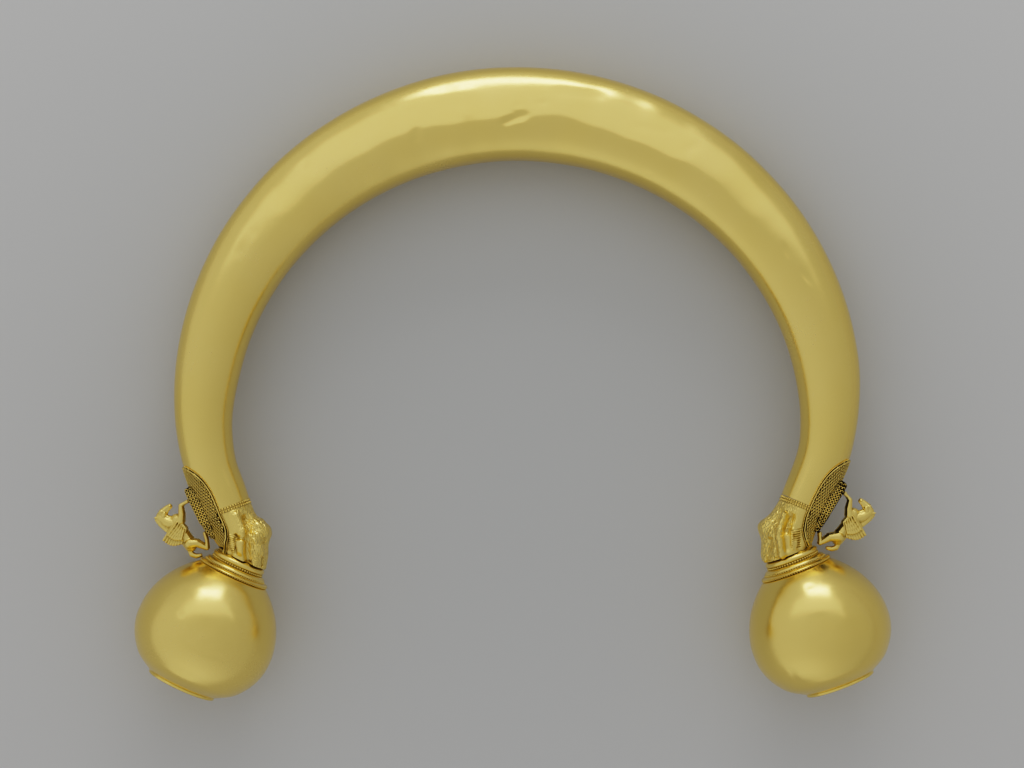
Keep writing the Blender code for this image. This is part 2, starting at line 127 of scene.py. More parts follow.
class Limb:
    """One half of the hoop and its paw: side is -1 for the left and 1 for the right."""

    def __init__(self, side, name, lean_angle, ankle_down, ankle_out, shift, platform_front, band_at, heel_in,
                 toe_in):
        self.side, self.name, self.shift, self.platform_front = side, name, shift, platform_front
        self.band_at, self.heel_in, self.toe_in = band_at, heel_in, toe_in
        self.wrist, self.down, self.out = self.frame(WRIST_ANGLE)
        self.lean = self.down * math.cos(lean_angle) + self.out * math.sin(lean_angle)
        self.sole_out = self.out * math.cos(lean_angle) - self.down * math.sin(lean_angle)
        self.ankle = self.local(ankle_down, ankle_out)

    def centre(self, angle):
        bend = smooth_step((angle / WRIST_ANGLE - BEND_START) / (1 - BEND_START))
        radius = mix(HOOP_SIDE_RADIUS, HOOP_BACK_RADIUS, ease(angle, ROUND_ANGLE, 0.7)) - WRIST_DRAW_IN * bend
        return Vector((self.side * radius * math.sin(angle) - END_SHIFT * bend, radius * math.cos(angle), 0))

    def frame(self, angle):
        """Centre of the tube, the direction down the limb, and the direction out of the hoop."""
        step = math.radians(0.5)
        down = (self.centre(angle + step) - self.centre(angle - step)).normalized()
        return self.centre(angle), down, down.cross(UP) * -self.side

    def half_sizes(self, angle):
        swell = ease(angle, WRIST_ANGLE, 0.52)
        return mix(WRIST_RADIUS, HOOP_BACK_WIDTH / 2, swell), mix(WRIST_RADIUS, HOOP_BACK_DEPTH / 2, swell)

    def local(self, along, out):
        return self.wrist + self.down * along + self.out * out

    def hoop_section(self, distance):
        """Heel point, toe point and half depth of the tube at a distance up the limb, which is below zero."""
        angle = WRIST_ANGLE + distance / HOOP_SIDE_RADIUS
        centre, _, out = self.frame(angle)
        wide, deep = self.half_sizes(angle)
        heel_in = self.heel_in * smooth_step((distance + 0.050) / 0.035)
        waist = smooth_step((distance + 0.050) / 0.025) * (1 - smooth_step((distance + 0.016) / 0.012))
        return centre + out * (wide - heel_in), centre - out * (wide - self.toe_in * waist), deep

    def paw_sections(self):
        """Heel point, toe point and half depth of each section that shapes the paw, from wrist to sole."""
        start = LEG_START + self.band_at
        rows = [(self.local(start, WRIST_RADIUS - self.heel_in), self.local(start, -WRIST_RADIUS), WRIST_RADIUS)]
        for heel, toe, deep, heel_share in zip(PAW_HEELS, PAW_TOES[self.name], PAW_HALF_DEPTHS, HEEL_SHARES):
            heel, toe = Vector(heel) * WRIST_RADIUS, Vector(toe) * WRIST_RADIUS
            heel.y -= self.heel_in * heel_share
            rows.append((self.local(*heel), self.local(*toe), deep * WRIST_RADIUS))
        heel = self.ankle + self.sole_out * (COLLAR_TOP_RADIUS - FIT_GAP)
        toe = self.ankle - self.sole_out * (COLLAR_TOP_RADIUS + TOE_OVERHANG)
        rows.append((heel, toe, SOLE_HALF_WIDTH * WRIST_RADIUS))
        return rows

    def section(self, place):
        """Heel point, toe point and half depth of the limb at a place along its plate."""
        distance, start = place + self.shift, self.band_at - LEG_START
        if distance <= start:
            return self.hoop_section(distance)
        rows = self.paw_sections()
        places = [(heel - self.wrist).dot(self.down) for heel, _, _ in rows[:-1]]
        places.append(places[-1] + SOLE_STEP)
        if distance > places[-1]:
            beyond = self.lean * (distance - places[-1])
            return rows[-1][0] + beyond, rows[-1][1] + beyond, rows[-1][2]
        rows, places = [self.hoop_section(start), *rows], [start, *places]
        k = 0
        while k < len(rows) - 2 and distance > places[k + 1]:
            k += 1
        share = min((distance - places[k]) / (places[k + 1] - places[k]), 1.0)
        return tuple(mix(a, b, share) for a, b in zip(rows[k], rows[k + 1]))

    def on_surface(self, place, sideways, height):
        """A point a height above the limb's outer side, at a place along the plate and some way to one side."""
        heel, toe, deep = self.section(place)
        out = (heel - toe).normalized()
        wide = (heel - toe).length / 2 + height
        outwards = wide * math.sqrt(max(1 - (sideways / deep) ** 2, 0))
        return (heel + toe) / 2 + out * outwards + UP * sideways * (deep + height) / deep


LEFT = Limb(
    -1, "left", math.radians(46.0), ankle_down=0.0160, ankle_out=0.0013, shift=0.0, platform_front=0.0018,
    band_at=0.0, heel_in=0.0, toe_in=0.0008,
)
RIGHT = Limb(
    1, "right", math.radians(42.2), ankle_down=0.0144, ankle_out=0.0012, shift=-0.0023, platform_front=0.0021,
    band_at=-0.0011, heel_in=0.0012, toe_in=0.0,
)
LIMBS = (LEFT, RIGHT)
print("wrists at", [tuple(round(x, 4) for x in limb.wrist) for limb in LIMBS])

# %% [markdown]
# The camera and a way to point at the surface
# The photograph looks straight down on the torc's plane, so the camera hangs 905 mm above it. A ray from the camera
# through a point of the picture finds the place on a piece, which is how each real dent and pit gets its spot.

# %% The camera
CAMERA_HEIGHT = 0.905
SCALE = 0.3179e-3
PICTURE_MIDDLE = (512, 384)
TORC_MIDDLE = (517.5, 400)
CAMERA_AT = Vector((
    (PICTURE_MIDDLE[0] - TORC_MIDDLE[0]) * SCALE, (TORC_MIDDLE[1] - PICTURE_MIDDLE[1]) * SCALE, CAMERA_HEIGHT
))
camera_data = bpy.data.cameras.new("camera")
camera_data.lens = 100
camera_data.sensor_width = 36
camera_data.clip_start = 0.01
camera = bpy.data.objects.new("camera", camera_data)
camera.matrix_world = TO_FLOOR @ Matrix.Translation(CAMERA_AT)
bpy.context.scene.collection.objects.link(camera)
bpy.context.scene.camera = camera
print("camera at", [round(x, 3) for x in camera.matrix_world.translation])


def places_under(piece, pixels):
    """The points of a piece, in the torc's plane, that the camera sees at these pixels."""
    tree = BVHTree.FromObject(piece, bpy.context.evaluated_depsgraph_get())
    hits = []
    for across, down in pixels:
        flat = Vector(((across - TORC_MIDDLE[0]) * SCALE, (TORC_MIDDLE[1] - down) * SCALE, 0))
        hits.append(tree.ray_cast(CAMERA_AT, flat - CAMERA_AT)[0])
        if hits[-1] is None:
            print(piece.name, "isn't under", (across, down))
    return [hit for hit in hits if hit is not None]


# %% [markdown]
# Three ways to start a piece
# Most of the torc is round. A tube that changes along its length starts as a cylinder primitive: its upright edges
# are subdivided into rings, and each ring is moved to its place. A form that was raised or turned about one axis is
# drawn as a half outline, point by point with extrude, and spun. Small things that repeat, such as grains, are
# modelled once and copied.

# %% Selecting and applying
def clear_selection():
    if bpy.context.mode != "OBJECT":
        bpy.ops.object.mode_set(mode="OBJECT")
    bpy.ops.object.select_all(action="DESELECT")


def take(piece):
    """Makes a piece the only one selected, and the active one."""
    clear_selection()
    piece.select_set(True)
    bpy.context.view_layer.objects.active = piece


def apply_modifier(piece, kind, **settings):
    modifier = piece.modifiers.new(kind.lower(), kind)
    for name, value in settings.items():
        setattr(modifier, name, value)
    bpy.ops.object.modifier_apply(modifier=modifier.name)


def face_outwards():
    """Turns every face of the active piece outwards."""
    bpy.ops.object.mode_set(mode="EDIT")
    bpy.ops.mesh.select_all(action="SELECT")
    bpy.ops.mesh.normals_make_consistent(inside=False)
    bpy.ops.object.mode_set(mode="OBJECT")


def axes(x, y, z):
    """The matrix that turns a model's own axes to these directions."""
    return Matrix((x, y, z)).transposed().to_4x4()


# %% Start a tube
def mark_edges(mesh, wanted):
    """Selects only the edges that a test on their two ends accepts."""
    mesh.polygons.foreach_set("select", [False] * len(mesh.polygons))
    mesh.vertices.foreach_set("select", [False] * len(mesh.vertices))
    chosen = [wanted(mesh.vertices[a].co, mesh.vertices[b].co) for a, b in (edge.vertices for edge in mesh.edges)]
    mesh.edges.foreach_set("select", chosen)


def tube(name, around, cuts, ring):
    """A closed tube of (cut + 1) rings for each pass of cuts, where ring(share) gives a place for every turn."""
    clear_selection()
    bpy.ops.mesh.primitive_cylinder_add(vertices=around, radius=1, depth=1, location=(0, 0, 0))
    piece = bpy.context.object
    piece.name = piece.data.name = name
    bpy.context.tool_settings.mesh_select_mode = (False, True, False)
    for cut in cuts:
        mark_edges(piece.data, lambda a, b: abs(a.z - b.z) > 1e-5)
        bpy.ops.object.mode_set(mode="EDIT")
        bpy.ops.mesh.subdivide(number_cuts=cut)
        bpy.ops.object.mode_set(mode="OBJECT")
    rings = {}
    for vertex in piece.data.vertices:
        x, y, z = vertex.co
        key = round(z + 0.5, 5)
        if key not in rings:
            rings[key] = ring(key)
        vertex.co = rings[key](math.atan2(y, x))
    return piece


# %% Turn a form about its axis
def lathe(name, outline, sides):
    """A body of revolution about Z: outline holds (height, radius) pairs from one end to the other."""
    clear_selection()
    height, radius = outline[0]
    bpy.ops.mesh.primitive_plane_add(size=1e-3, location=(radius, 0, height))
    piece = bpy.context.object
    piece.name = piece.data.name = name
    bpy.ops.object.transform_apply()
    bpy.ops.object.mode_set(mode="EDIT")
    bpy.ops.mesh.select_mode(type="VERT")
    bpy.ops.mesh.select_all(action="SELECT")
    bpy.ops.mesh.merge(type="CENTER")
    for (h0, r0), (h1, r1) in zip(outline, outline[1:]):
        bpy.ops.mesh.extrude_region_move(TRANSFORM_OT_translate={"value": (r1 - r0, 0, h1 - h0)})
    bpy.ops.mesh.select_all(action="SELECT")
    bpy.ops.mesh.spin(steps=sides, angle=2 * math.pi, center=(0, 0, 0), axis=(0, 0, 1))
    bpy.ops.mesh.select_all(action="SELECT")
    bpy.ops.mesh.remove_doubles(threshold=2e-6)
    bpy.ops.mesh.select_all(action="DESELECT")
    bpy.ops.mesh.select_non_manifold()
    bpy.ops.mesh.fill_holes(sides=0)
    face_outwards()
    return piece


def stand_on(piece, origin, axis):
    """Moves a turned piece so that its axis leaves the origin in the given direction."""
    across = UP.cross(axis).normalized()
    piece.data.transform(Matrix.Translation(origin) @ axes(across, axis.cross(across), axis))


# %% Copy and join small things
def copies(name, model, places):
    """One piece made of copies of a small model, one at each matrix. The model is used up."""
    count = len(model.data.vertices)
    corners = np.empty(count * 3)
    model.data.vertices.foreach_get("co", corners)
    corners = np.c_[corners.reshape(count, 3), np.ones(count)]
    points = [corners @ np.array(place).T[:, :3] for place in places]
    faces = [tuple(face.vertices) for face in model.data.polygons]
    all_faces = [tuple(v + count * i for v in face) for i in range(len(places)) for face in faces]
    mesh = bpy.data.meshes.new(name)
    mesh.from_pydata(np.concatenate(points).tolist(), [], all_faces)
    piece = bpy.data.objects.new(name, mesh)
    bpy.context.scene.collection.objects.link(piece)
    bpy.data.objects.remove(model, do_unlink=True)
    return piece


def join(name, pieces):
    clear_selection()
    for piece in pieces:
        piece.select_set(True)
    bpy.context.view_layer.objects.active = pieces[0]
    bpy.ops.object.join()
    pieces[0].name = pieces[0].data.name = name
    return pieces[0]


# %% Chase the metal and cut it flat
def work_metal(piece, marks, both_sides=False):
    """Chases lines and dents into the skin. A mark is a line of pixels, its reach to each side and its depth, both in
    millimetres. The depth is below zero where the metal stands up. Both sides of the torc get it where asked."""
    sides = (1, -1) if both_sides else (1,)
    lines = []
    for pixels, reach, depth in marks:
        found = [np.array(point) for point in places_under(piece, pixels)]
        lines += [([point * (1, 1, side) for point in found], reach / 1000, depth / 1000) for side in sides if found]
    count = len(piece.data.vertices)
    points, normals = np.empty(count * 3), np.empty(count * 3)
    piece.data.vertices.foreach_get("co", points)
    piece.data.vertices.foreach_get("normal", normals)
    points, normals = points.reshape(count, 3), normals.reshape(count, 3)
    for line, reach, depth in lines:
        nearest = np.full(count, reach)
        for a, b in zip(line, line[1:] or line):
            step = b - a
            share = np.clip((points - a) @ step / max(step @ step, 1e-12), 0, 1)
            nearest = np.minimum(nearest, np.linalg.norm(points - a - share[:, None] * step, axis=1))
        fade = (1 - (nearest / reach) ** 2) ** 2
        points = points - normals * (fade * depth)[:, None]
    piece.data.vertices.foreach_set("co", points.ravel())
    piece.data.update()


def cut_flat(piece):
    """Cuts off what reaches under the floor and closes the cut."""
    take(piece)
    to_plane = TO_FLOOR.inverted()
    bpy.ops.object.mode_set(mode="EDIT")
    bpy.ops.mesh.select_all(action="SELECT")
    floor_point, downwards = to_plane @ Vector((0, 0, 0)), to_plane.to_3x3() @ Vector((0, 0, -1))
    bpy.ops.mesh.bisect(
        plane_co=floor_point, plane_no=downwards, use_fill=True, clear_outer=True, threshold=1e-6
    )
    bpy.ops.object.mode_set(mode="OBJECT")


# %% [markdown]
# Shader maths as arithmetic
# Blender's materials are graphs of nodes. A small class wraps one socket and overloads the operators, so that
# 1 - mask adds the right Math node by itself. Colours go through Mix nodes, because a Math node would turn them grey.

# %% The signal, graph and finish classes
class Signal:
    """One output socket that can be added, subtracted, multiplied and raised to a power."""

    def __init__(self, graph, socket):
        self.graph = graph
        self.socket = socket

    def beside(self, output):
        """Another output of the same node."""
        return Signal(self.graph, self.socket.node.outputs[output])

    def maths(self, operation, first, second):
        return self.graph.add("Math", {"operation": operation}, {0: first, 1: second})

    def above(self, low):
        return self.maths("MAXIMUM", self, low)

    def __add__(self, other):
        return self.maths("ADD", self, other)

    def __radd__(self, other):
        return self.maths("ADD", other, self)

    def __sub__(self, other):
        return self.maths("SUBTRACT", self, other)

    def __rsub__(self, other):
        return self.maths("SUBTRACT", other, self)

    def __mul__(self, other):
        return self.maths("MULTIPLY", self, other)

    def __pow__(self, other):
        return self.maths("POWER", self, other)


class Graph:
    """A node tree and the single method that adds any node to it, by its kind without the word ShaderNode."""

    def __init__(self, tree):
        self.nodes = tree.nodes
        self.links = tree.links

    def add(self, kind, settings, sockets, output=0):
        node = self.nodes.new("ShaderNode" + kind)
        for key, value in settings.items():
            setattr(node, key, value)
        for key, value in sockets.items():
            if isinstance(value, Signal):
                self.links.new(value.socket, node.inputs[key])
            else:
                node.inputs[key].default_value = value
        return Signal(self, node.outputs[output])

    def blend(self, factor, first, second):
        """A Mix node for two colours, each given as three numbers or as a signal."""
        first, second = [c if isinstance(c, Signal) else (*c, 1) for c in (first, second)]
        return self.add("Mix", {"data_type": "RGBA"}, {0: factor, 6: first, 7: second}, 2)


class Finish(Graph):
    """A material whose Principled shader is fed by the graph."""

    def __init__(self, name):
        self.material = bpy.data.materials.new(name)
        self.material.use_nodes = True
        super().__init__(self.material.node_tree)
        self.shader = self.nodes["Principled BSDF"]
        self.fed = {}

    def bump(self, height):
        """Raises the skin by a height in metres, on top of any bump that it has."""
        sockets = {"Strength": 1.0, "Distance": 1.0, "Height": height}
        if "Normal" in self.fed:
            sockets["Normal"] = self.fed["Normal"]
        self.set("Normal", self.add("Bump", {}, sockets))

    def set(self, name, value):
        self.fed[name] = value
        if isinstance(value, Signal):
            self.links.new(value.socket, self.shader.inputs[name])
        else:
            self.shader.inputs[name].default_value = value


# %% [markdown]
# Gold
# Old gold is soft and never one colour: silver in it turns some patches paler, handling polishes the high places,
# and the hollows of chased and granulated work keep a brown film. Each finish therefore blends a pale and a deep
# gold by a slow noise and breaks the roughness up. It also paints the hollows that an ambient-occlusion node finds
# dark brown: this is painted shade, standing for the shade in those hollows together with the film. The
# shallow unevenness of beaten sheet is a bump, because it is far finer than the mesh.

# %% A function for every gold finish
PALE_GOLD = (0.955, 0.752, 0.285)
DEEP_GOLD = (0.915, 0.700, 0.228)
# The dark brown of the hollows: painted shade, together with a brown film.
SHADE_AND_FILM_COLOUR = (0.190, 0.130, 0.030)


def gold(name, roughness, hollow_reach, shade_and_film_strength, beaten=0.00008, grain=0.0):
    """A gold finish: how rough it is, how far the occlusion looks for a hollow, how dark the painted shade and film
    there are, and how uneven it is.
    """
    finish = Finish(name)
    place = finish.add("TexCoord", {}, {}, 3)
    cloud, speck, swell = (
        finish.add("TexNoise", {}, {"Vector": place, "Scale": scale, "Detail": detail, "Roughness": rough})
        for scale, detail, rough in ((38.0, 3.0, 0.55), (900.0, 3.0, 0.6), (110.0, 1.0, 0.4))
    )
    colour = finish.blend(cloud, DEEP_GOLD, PALE_GOLD)
    if shade_and_film_strength > 0:
        # Painted shade: where the ambient-occlusion node finds little open sky, the colour darkens to dark brown, for
        # the shade in the hollows together with the film.
        open_sky = finish.add("AmbientOcclusion", {"samples": 6}, {"Distance": hollow_reach}, 1)
        shade_and_film_mask = (1 - open_sky) * shade_and_film_strength
        shade_and_film_mask = finish.add("Clamp", {}, {0: shade_and_film_mask + (speck - 0.5) * 0.10 * shade_and_film_strength})
        colour = finish.blend(shade_and_film_mask, colour, SHADE_AND_FILM_COLOUR)
        finish.set("Roughness", finish.add("Clamp", {}, {0: roughness + speck * 0.10 + shade_and_film_mask * 0.25}))
    else:
        finish.set("Roughness", roughness + (speck - 0.5) * 0.12 + (cloud - 0.5) * 0.10)
    finish.set("Base Color", colour)
    finish.set("Metallic", 1.0)
    finish.bump(swell * beaten + speck * (beaten * 0.04 + grain))
    return finish


POLISHED = gold("polished_gold", 0.24, 0.0, 0.0)
CHASED = gold("chased_gold", 0.20, 0.0005, 0.8, 0.00003, 0.00001)
CAST = gold("cast_gold", 0.24, 0.0010, 1.3, 0.00008, 0.00004)


# %% [markdown]
# Fur, and wires over a ground painted dark as shade
# Two finishes need to know where they are on the piece. The paw carries a turn and a length at each of its points,
# which stretch a cell pattern into strokes of fur. The filigree carries a number that is 1 on the ground alone, and
# the finish paints that ground near black: painted shade, standing for the shade between and under the wires.

# %% Fur on the paws
FURRED = gold("furred_gold", 0.20, 0.0010, 1.2, 0.00003, 0.0)
skin = FURRED.add("Attribute", {"attribute_name": "skin"}, {}, 1)
around = FURRED.add("SeparateXYZ", {}, {0: skin}, 0)
furred = FURRED.add("MapRange", {}, {0: around * around, 1: 70.0, 2: 120.0, 3: 1.0, 4: 0.15})
stretched = FURRED.add("Mapping", {}, {0: skin, 3: (1.6, 0.62, 1.0)})
strokes = FURRED.add("TexVoronoi", {"feature": "DISTANCE_TO_EDGE"}, {"Vector": stretched, "Scale": 1.0})
furrow = FURRED.add("MapRange", {}, {0: strokes, 1: 0.0, 2: 0.16, 3: 0.0, 4: 1.0})
FURRED.bump(furrow * furred * 0.00013)

# %% Bright wires over a ground painted dark as shade
FILIGREE = gold("filigree_gold", 0.20, 0.0, 0.0, 0.00001, 0.00001)
painted_shade_ground = FILIGREE.add("Attribute", {"attribute_name": "painted_shade_ground"}, {}, 2)
# Painted shade: the ground under the wires turns near black, standing for the shade in the openwork.
FILIGREE.set("Base Color", FILIGREE.blend(painted_shade_ground, FILIGREE.fed["Base Color"], (0.035, 0.023, 0.007)))
polish = FILIGREE.fed["Roughness"]
FILIGREE.set("Roughness", polish + (0.5 - polish) * painted_shade_ground)
print("finishes:", [finish.material.name for finish in (POLISHED, CHASED, CAST, FURRED, FILIGREE)])


# %% Lay down a finished piece
def finish_piece(piece, finish, slot, *nodes):
    """Lays a piece on the floor, gives it its gold, hangs it on the root, and hides the CAD nodes that it stands for.
    """
    piece.data.transform(TO_FLOOR)
    piece.data.materials.clear()
    piece.data.materials.append(finish.material)
    take(piece)
    bpy.ops.object.shade_smooth_by_angle(angle=math.radians(42))
    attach(piece, "root")
    if nodes:
        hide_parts(*nodes)
    triangles = sum(len(face.vertices) - 2 for face in piece.data.polygons)
    print(f"{piece.name}: {triangles} triangles")


# %% [markdown]
# The hoop
# The hoop was beaten from sheet gold and soldered along a seam. It is fullest at the back of the neck, where it is a
# little wider than it is deep, and thins to a round wrist at each end. The hammer left its top in two broad facets
# that meet in a soft, wandering ridge, and its shoulders rather full. That is what gives the real one a pale outer
# zone and a darker one inside it, so the section is drawn with them instead of as a plain ellipse.

# %% Model the hoop
HOOP_AROUND = 128
OUTER_SECTION = ((0.0, 1.0), (0.1, 0.988), (0.2, 0.971), (0.3, 0.948), (0.4, 0.919), (0.5, 0.882), (0.6, 0.832),
                 (0.68, 0.777), (0.75, 0.716), (0.8, 0.664), (0.85, 0.600), (0.9, 0.518), (0.95, 0.395), (1.0, 0.0))
INNER_SECTION = ((0.0, 1.0), (0.1, 0.991), (0.2, 0.977), (0.3, 0.957), (0.4, 0.930), (0.5, 0.897), (0.6, 0.853),
                 (0.7, 0.790), (0.8, 0.700), (0.88, 0.592), (0.94, 0.460), (0.98, 0.300), (1.0, 0.0))
TABLE_STEPS = 400
SMOOTHING_WIDTH = 25
RIDGE_END = 0.86
RIDGE_SLIDE = 0.15


def smooth_table(section):
    """Heights at even shares of the half width, rounded where the facets meet."""
    shares = np.linspace(0, 1, TABLE_STEPS + 1)
    places, heights = zip(*section)
    round_share = np.sqrt(1 - np.array(places[:-1]) ** 2)
    bulge = np.interp(shares, places[:-1], np.array(heights[:-1]) / round_share)
    for _ in range(3):
        padded = np.pad(bulge, SMOOTHING_WIDTH // 2, mode="edge")
        bulge = np.convolve(padded, np.ones(SMOOTHING_WIDTH) / SMOOTHING_WIDTH, mode="valid")
    return bulge * np.sqrt(1 - shares**2)


OUTER_HEIGHTS, INNER_HEIGHTS = smooth_table(OUTER_SECTION), smooth_table(INNER_SECTION)


def section_height(across):
    """Height of the skin over the middle plane, as a share of the half depth, at a share of the half width."""
    heights = OUTER_HEIGHTS if across > 0 else INNER_HEIGHTS
    place = abs(across) * TABLE_STEPS
    k = min(int(place), TABLE_STEPS - 1)
    return mix(heights[k], heights[k + 1], place - k)


def hoop_ring(share):
    """One ring of the hoop. Its ridge wanders from side to side, and fades out towards the wrists."""
    turn = mix(-1.0, 1.0, share)
    limb = LEFT if turn < 0 else RIGHT
    angle = abs(turn) * (WRIST_ANGLE + (limb.band_at - LEG_START) / HOOP_SIDE_RADIUS)
    heel, toe, deep = limb.hoop_section((angle - WRIST_ANGLE) * HOOP_SIDE_RADIUS)
    centre, out, wide = (heel + toe) / 2, (heel - toe).normalized(), (heel - toe).length / 2
    fade = smooth_step((RIDGE_END - abs(turn)) * 2.2)
    drift = 0.14 * noise.noise(Vector((turn * 6, 0.3, 0))) + 0.07 * noise.noise(Vector((turn * 19, 2.1, 0)))

    def place(t):
        across, up = math.cos(t), math.sin(t)
        slid = across - fade * (drift * (1 - across * across) - RIDGE_SLIDE * (1 - across * across) ** 2)
        ridged = math.copysign(section_height(slid), up) if fade > 0 else up
        point = centre + out * wide * across + UP * deep * mix(up, ridged, fade)
        wander = noise.noise(point * 60) * 0.005 + noise.noise(point * 140) * 0.002 - 0.003
        return centre + (point - centre) * (1 + wander * smooth_step((1 - abs(turn)) * 6))

    return place


hoop = tube("gold_hoop", HOOP_AROUND, (15, 17), hoop_ring)

# %% [markdown]
# The damage on the hoop
# Thin sheet over a hollow dents easily. The marks are pressed into the mesh one by one where the photograph has them:
# a creased dent with pits at the top, a dent with a slit to the right of it, and a few small dings.

# %% Press the dents
HOOP_MARKS = (
    (((304, 165),), 2, 0.22), (((506, 122), (514, 118), (522, 117)), 1.8, 0.55),
    (((516, 112), (526, 114)), 1.6, 0.3), (((518, 105),), 1.2, 0.35), (((540, 103), (544, 102)), 1.2, 0.3),
    (((415, 131), (416.5, 140)), 1.3, 0.35), (((411, 108), (412, 114)), 1.2, 0.2),
    (((463, 110), (468, 114)), 1.8, -0.18), (((688, 149), (697, 145)), 3, 0.22),
    (((690.5, 149), (693, 145)), 0.9, 0.24), (((648.6, 174),), 1.2, 0.35), (((640, 126), (668, 132)), 2.2, 0.16),
    (((560, 92), (600, 96)), 3, 0.16), (((440, 96), (470, 92)), 3, -0.12), (((785, 248), (787, 254)), 1.2, 0.22),
    (((803, 272), (809, 281)), 1, 0.2), (((220, 489),), 1.2, 0.25), (((252, 232), (240, 252)), 3, 0.1),
)
work_metal(hoop, HOOP_MARKS)
cut_flat(hoop)
finish_piece(hoop, POLISHED, "hoop", "hoop")

# %% [markdown]
# The balls and their lids
# Each ball was raised from sheet and closed by a flat lid that is crimped round the rim. It is a turned form, so it
# is drawn as a half outline and spun. A flat spot under it, cut by bisect, lets it rest on the floor.

# %% Model the balls
BALL_LENGTH = 0.0383
BALL_RADIUS = 0.02252
BALL_NECK_RADIUS = 0.0112
CAP_RADIUS = 0.0113
COLLAR_HEIGHT = 0.0051
BALL_OUTLINE = (
    (0.078, 0.645), (0.19, 0.802), (0.32, 0.920), (0.45, 0.985), (0.56, 1.000), (0.66, 0.985), (0.76, 0.928),
    (0.85, 0.834), (0.925, 0.715),
)
BALL_MARKS = {
    "left": (
        (((185, 640), (196, 647), (209, 646)), 2.2, 0.14), (((195, 632), (206, 628)), 3, 0.12),
        (((180, 614),), 1, 0.16), (((159, 620.5),), 0.9, 0.14), (((209, 635),), 0.9, 0.14),
        (((203, 654), (220, 657)), 1.3, 0.14), (((170, 600), (182, 590)), 3, 0.08),
        (((228, 612), (240, 640)), 3.4, -0.1), (((176, 668), (190, 676)), 2.6, 0.1),
    ),
    "right": (
        (((812, 620), (822, 617), (830, 626), (826, 637), (815, 640), (810, 630), (812, 620)), 1.2, 0.1),
        (((820, 628),), 4, 0.12), (((807, 587.5), (812, 586)), 0.8, 0.1), (((789, 650),), 1, 0.16),
        (((792, 670), (797, 682)), 1.2, 0.12), (((775, 600), (770, 622)), 3.4, -0.1),
        (((850, 610), (862, 640)), 3.4, 0.1),
    ),
}


def ball_origin(limb):
    return limb.ankle + limb.lean * (COLLAR_HEIGHT + 2 * FIT_GAP)


for limb in LIMBS:
    corners = [Vector((0, BALL_NECK_RADIUS))]
    corners += [Vector((along * BALL_LENGTH, share * BALL_RADIUS)) for along, share in BALL_OUTLINE]
    corners.append(Vector((BALL_LENGTH, CAP_RADIUS)))
    outline = [tuple(point) for point in curve_through(corners, 64)]
    ball = lathe(f"{limb.name}_gold_ball", outline, 128)
    stand_on(ball, ball_origin(limb), limb.lean)
    work_metal(ball, BALL_MARKS[limb.name])
    cut_flat(ball)
    finish_piece(ball, POLISHED, "ball", f"{limb.name}_ball")

# %% Model the lids
LID_OUTLINE = ((-0.0003, 0.985), (0.0001, 1.0), (0.0004, 1.0), (0.00055, 0.985), (0.0006, 0.93), (0.0008, 0.8))
LID_OUTLINE += ((0.00095, 0.55), (0.00105, 0.3), (0.00115, 0.1), (0.0012, 0.01))
for limb in LIMBS:
    lid = lathe(f"{limb.name}_lid", [(height, share * CAP_RADIUS) for height, share in LID_OUTLINE], 96)
    stand_on(lid, ball_origin(limb) + limb.lean * (BALL_LENGTH + FIT_GAP), limb.lean)
    finish_piece(lid, POLISHED, "ball", f"{limb.name}_ball_cap")

# %% [markdown]
# Collars and wrist bands
# The collar is a stack of mouldings with rows of gold grains between them, and the wrist band is a narrow drum with
# two rows of finer grains. The mouldings are turned. The grains are one small sphere each, copied round.

# %% Model the collars
COLLAR_OUTLINE = (
    (-0.0006, 0.0068), (-0.0003, 0.0073), (0.0000, 0.0078), (0.0004, 0.0084), (0.0009, 0.0087), (0.0014, 0.0087),
    (0.0018, 0.0084), (0.0020, 0.0081), (0.0024, 0.0081), (0.0026, 0.0087), (0.0029, 0.0094), (0.0033, 0.0099),
    (0.0037, 0.0100), (0.0039, 0.0098), (0.0041, 0.0100), (0.0043, 0.0107), (0.0045, 0.0114), (0.0048, 0.0116),
    (0.0050, 0.0114), (0.0051, 0.0110),
)


def grain_row(name, count, height, ring_radius, grain_radius):
    """Grains set side by side on a circle about Z."""
    clear_selection()
    bpy.ops.mesh.primitive_uv_sphere_add(segments=10, ring_count=6, radius=grain_radius)
    turns = [2 * math.pi * i / count for i in range(count)]
    spots = [Matrix.Translation((ring_radius * math.cos(t), ring_radius * math.sin(t), height)) for t in turns]
    return copies(name, bpy.context.object, spots)


for limb in LIMBS:
    mouldings = lathe(f"{limb.name}_mouldings", COLLAR_OUTLINE, 112)
    upper = grain_row("upper_grains", 60, 0.0022, 0.0083, 0.00038)
    lower = grain_row("lower_grains", 76, 0.0040, 0.0100, 0.00030)
    rim = grain_row("rim_grains", 84, 0.0051, 0.01120, 0.00036)
    collar = join(f"{limb.name}_moulded_collar", [mouldings, upper, lower, rim])
    stand_on(collar, limb.ankle + limb.lean * FIT_GAP, limb.lean)
    finish_piece(collar, CHASED, "collar", f"{limb.name}_collar")

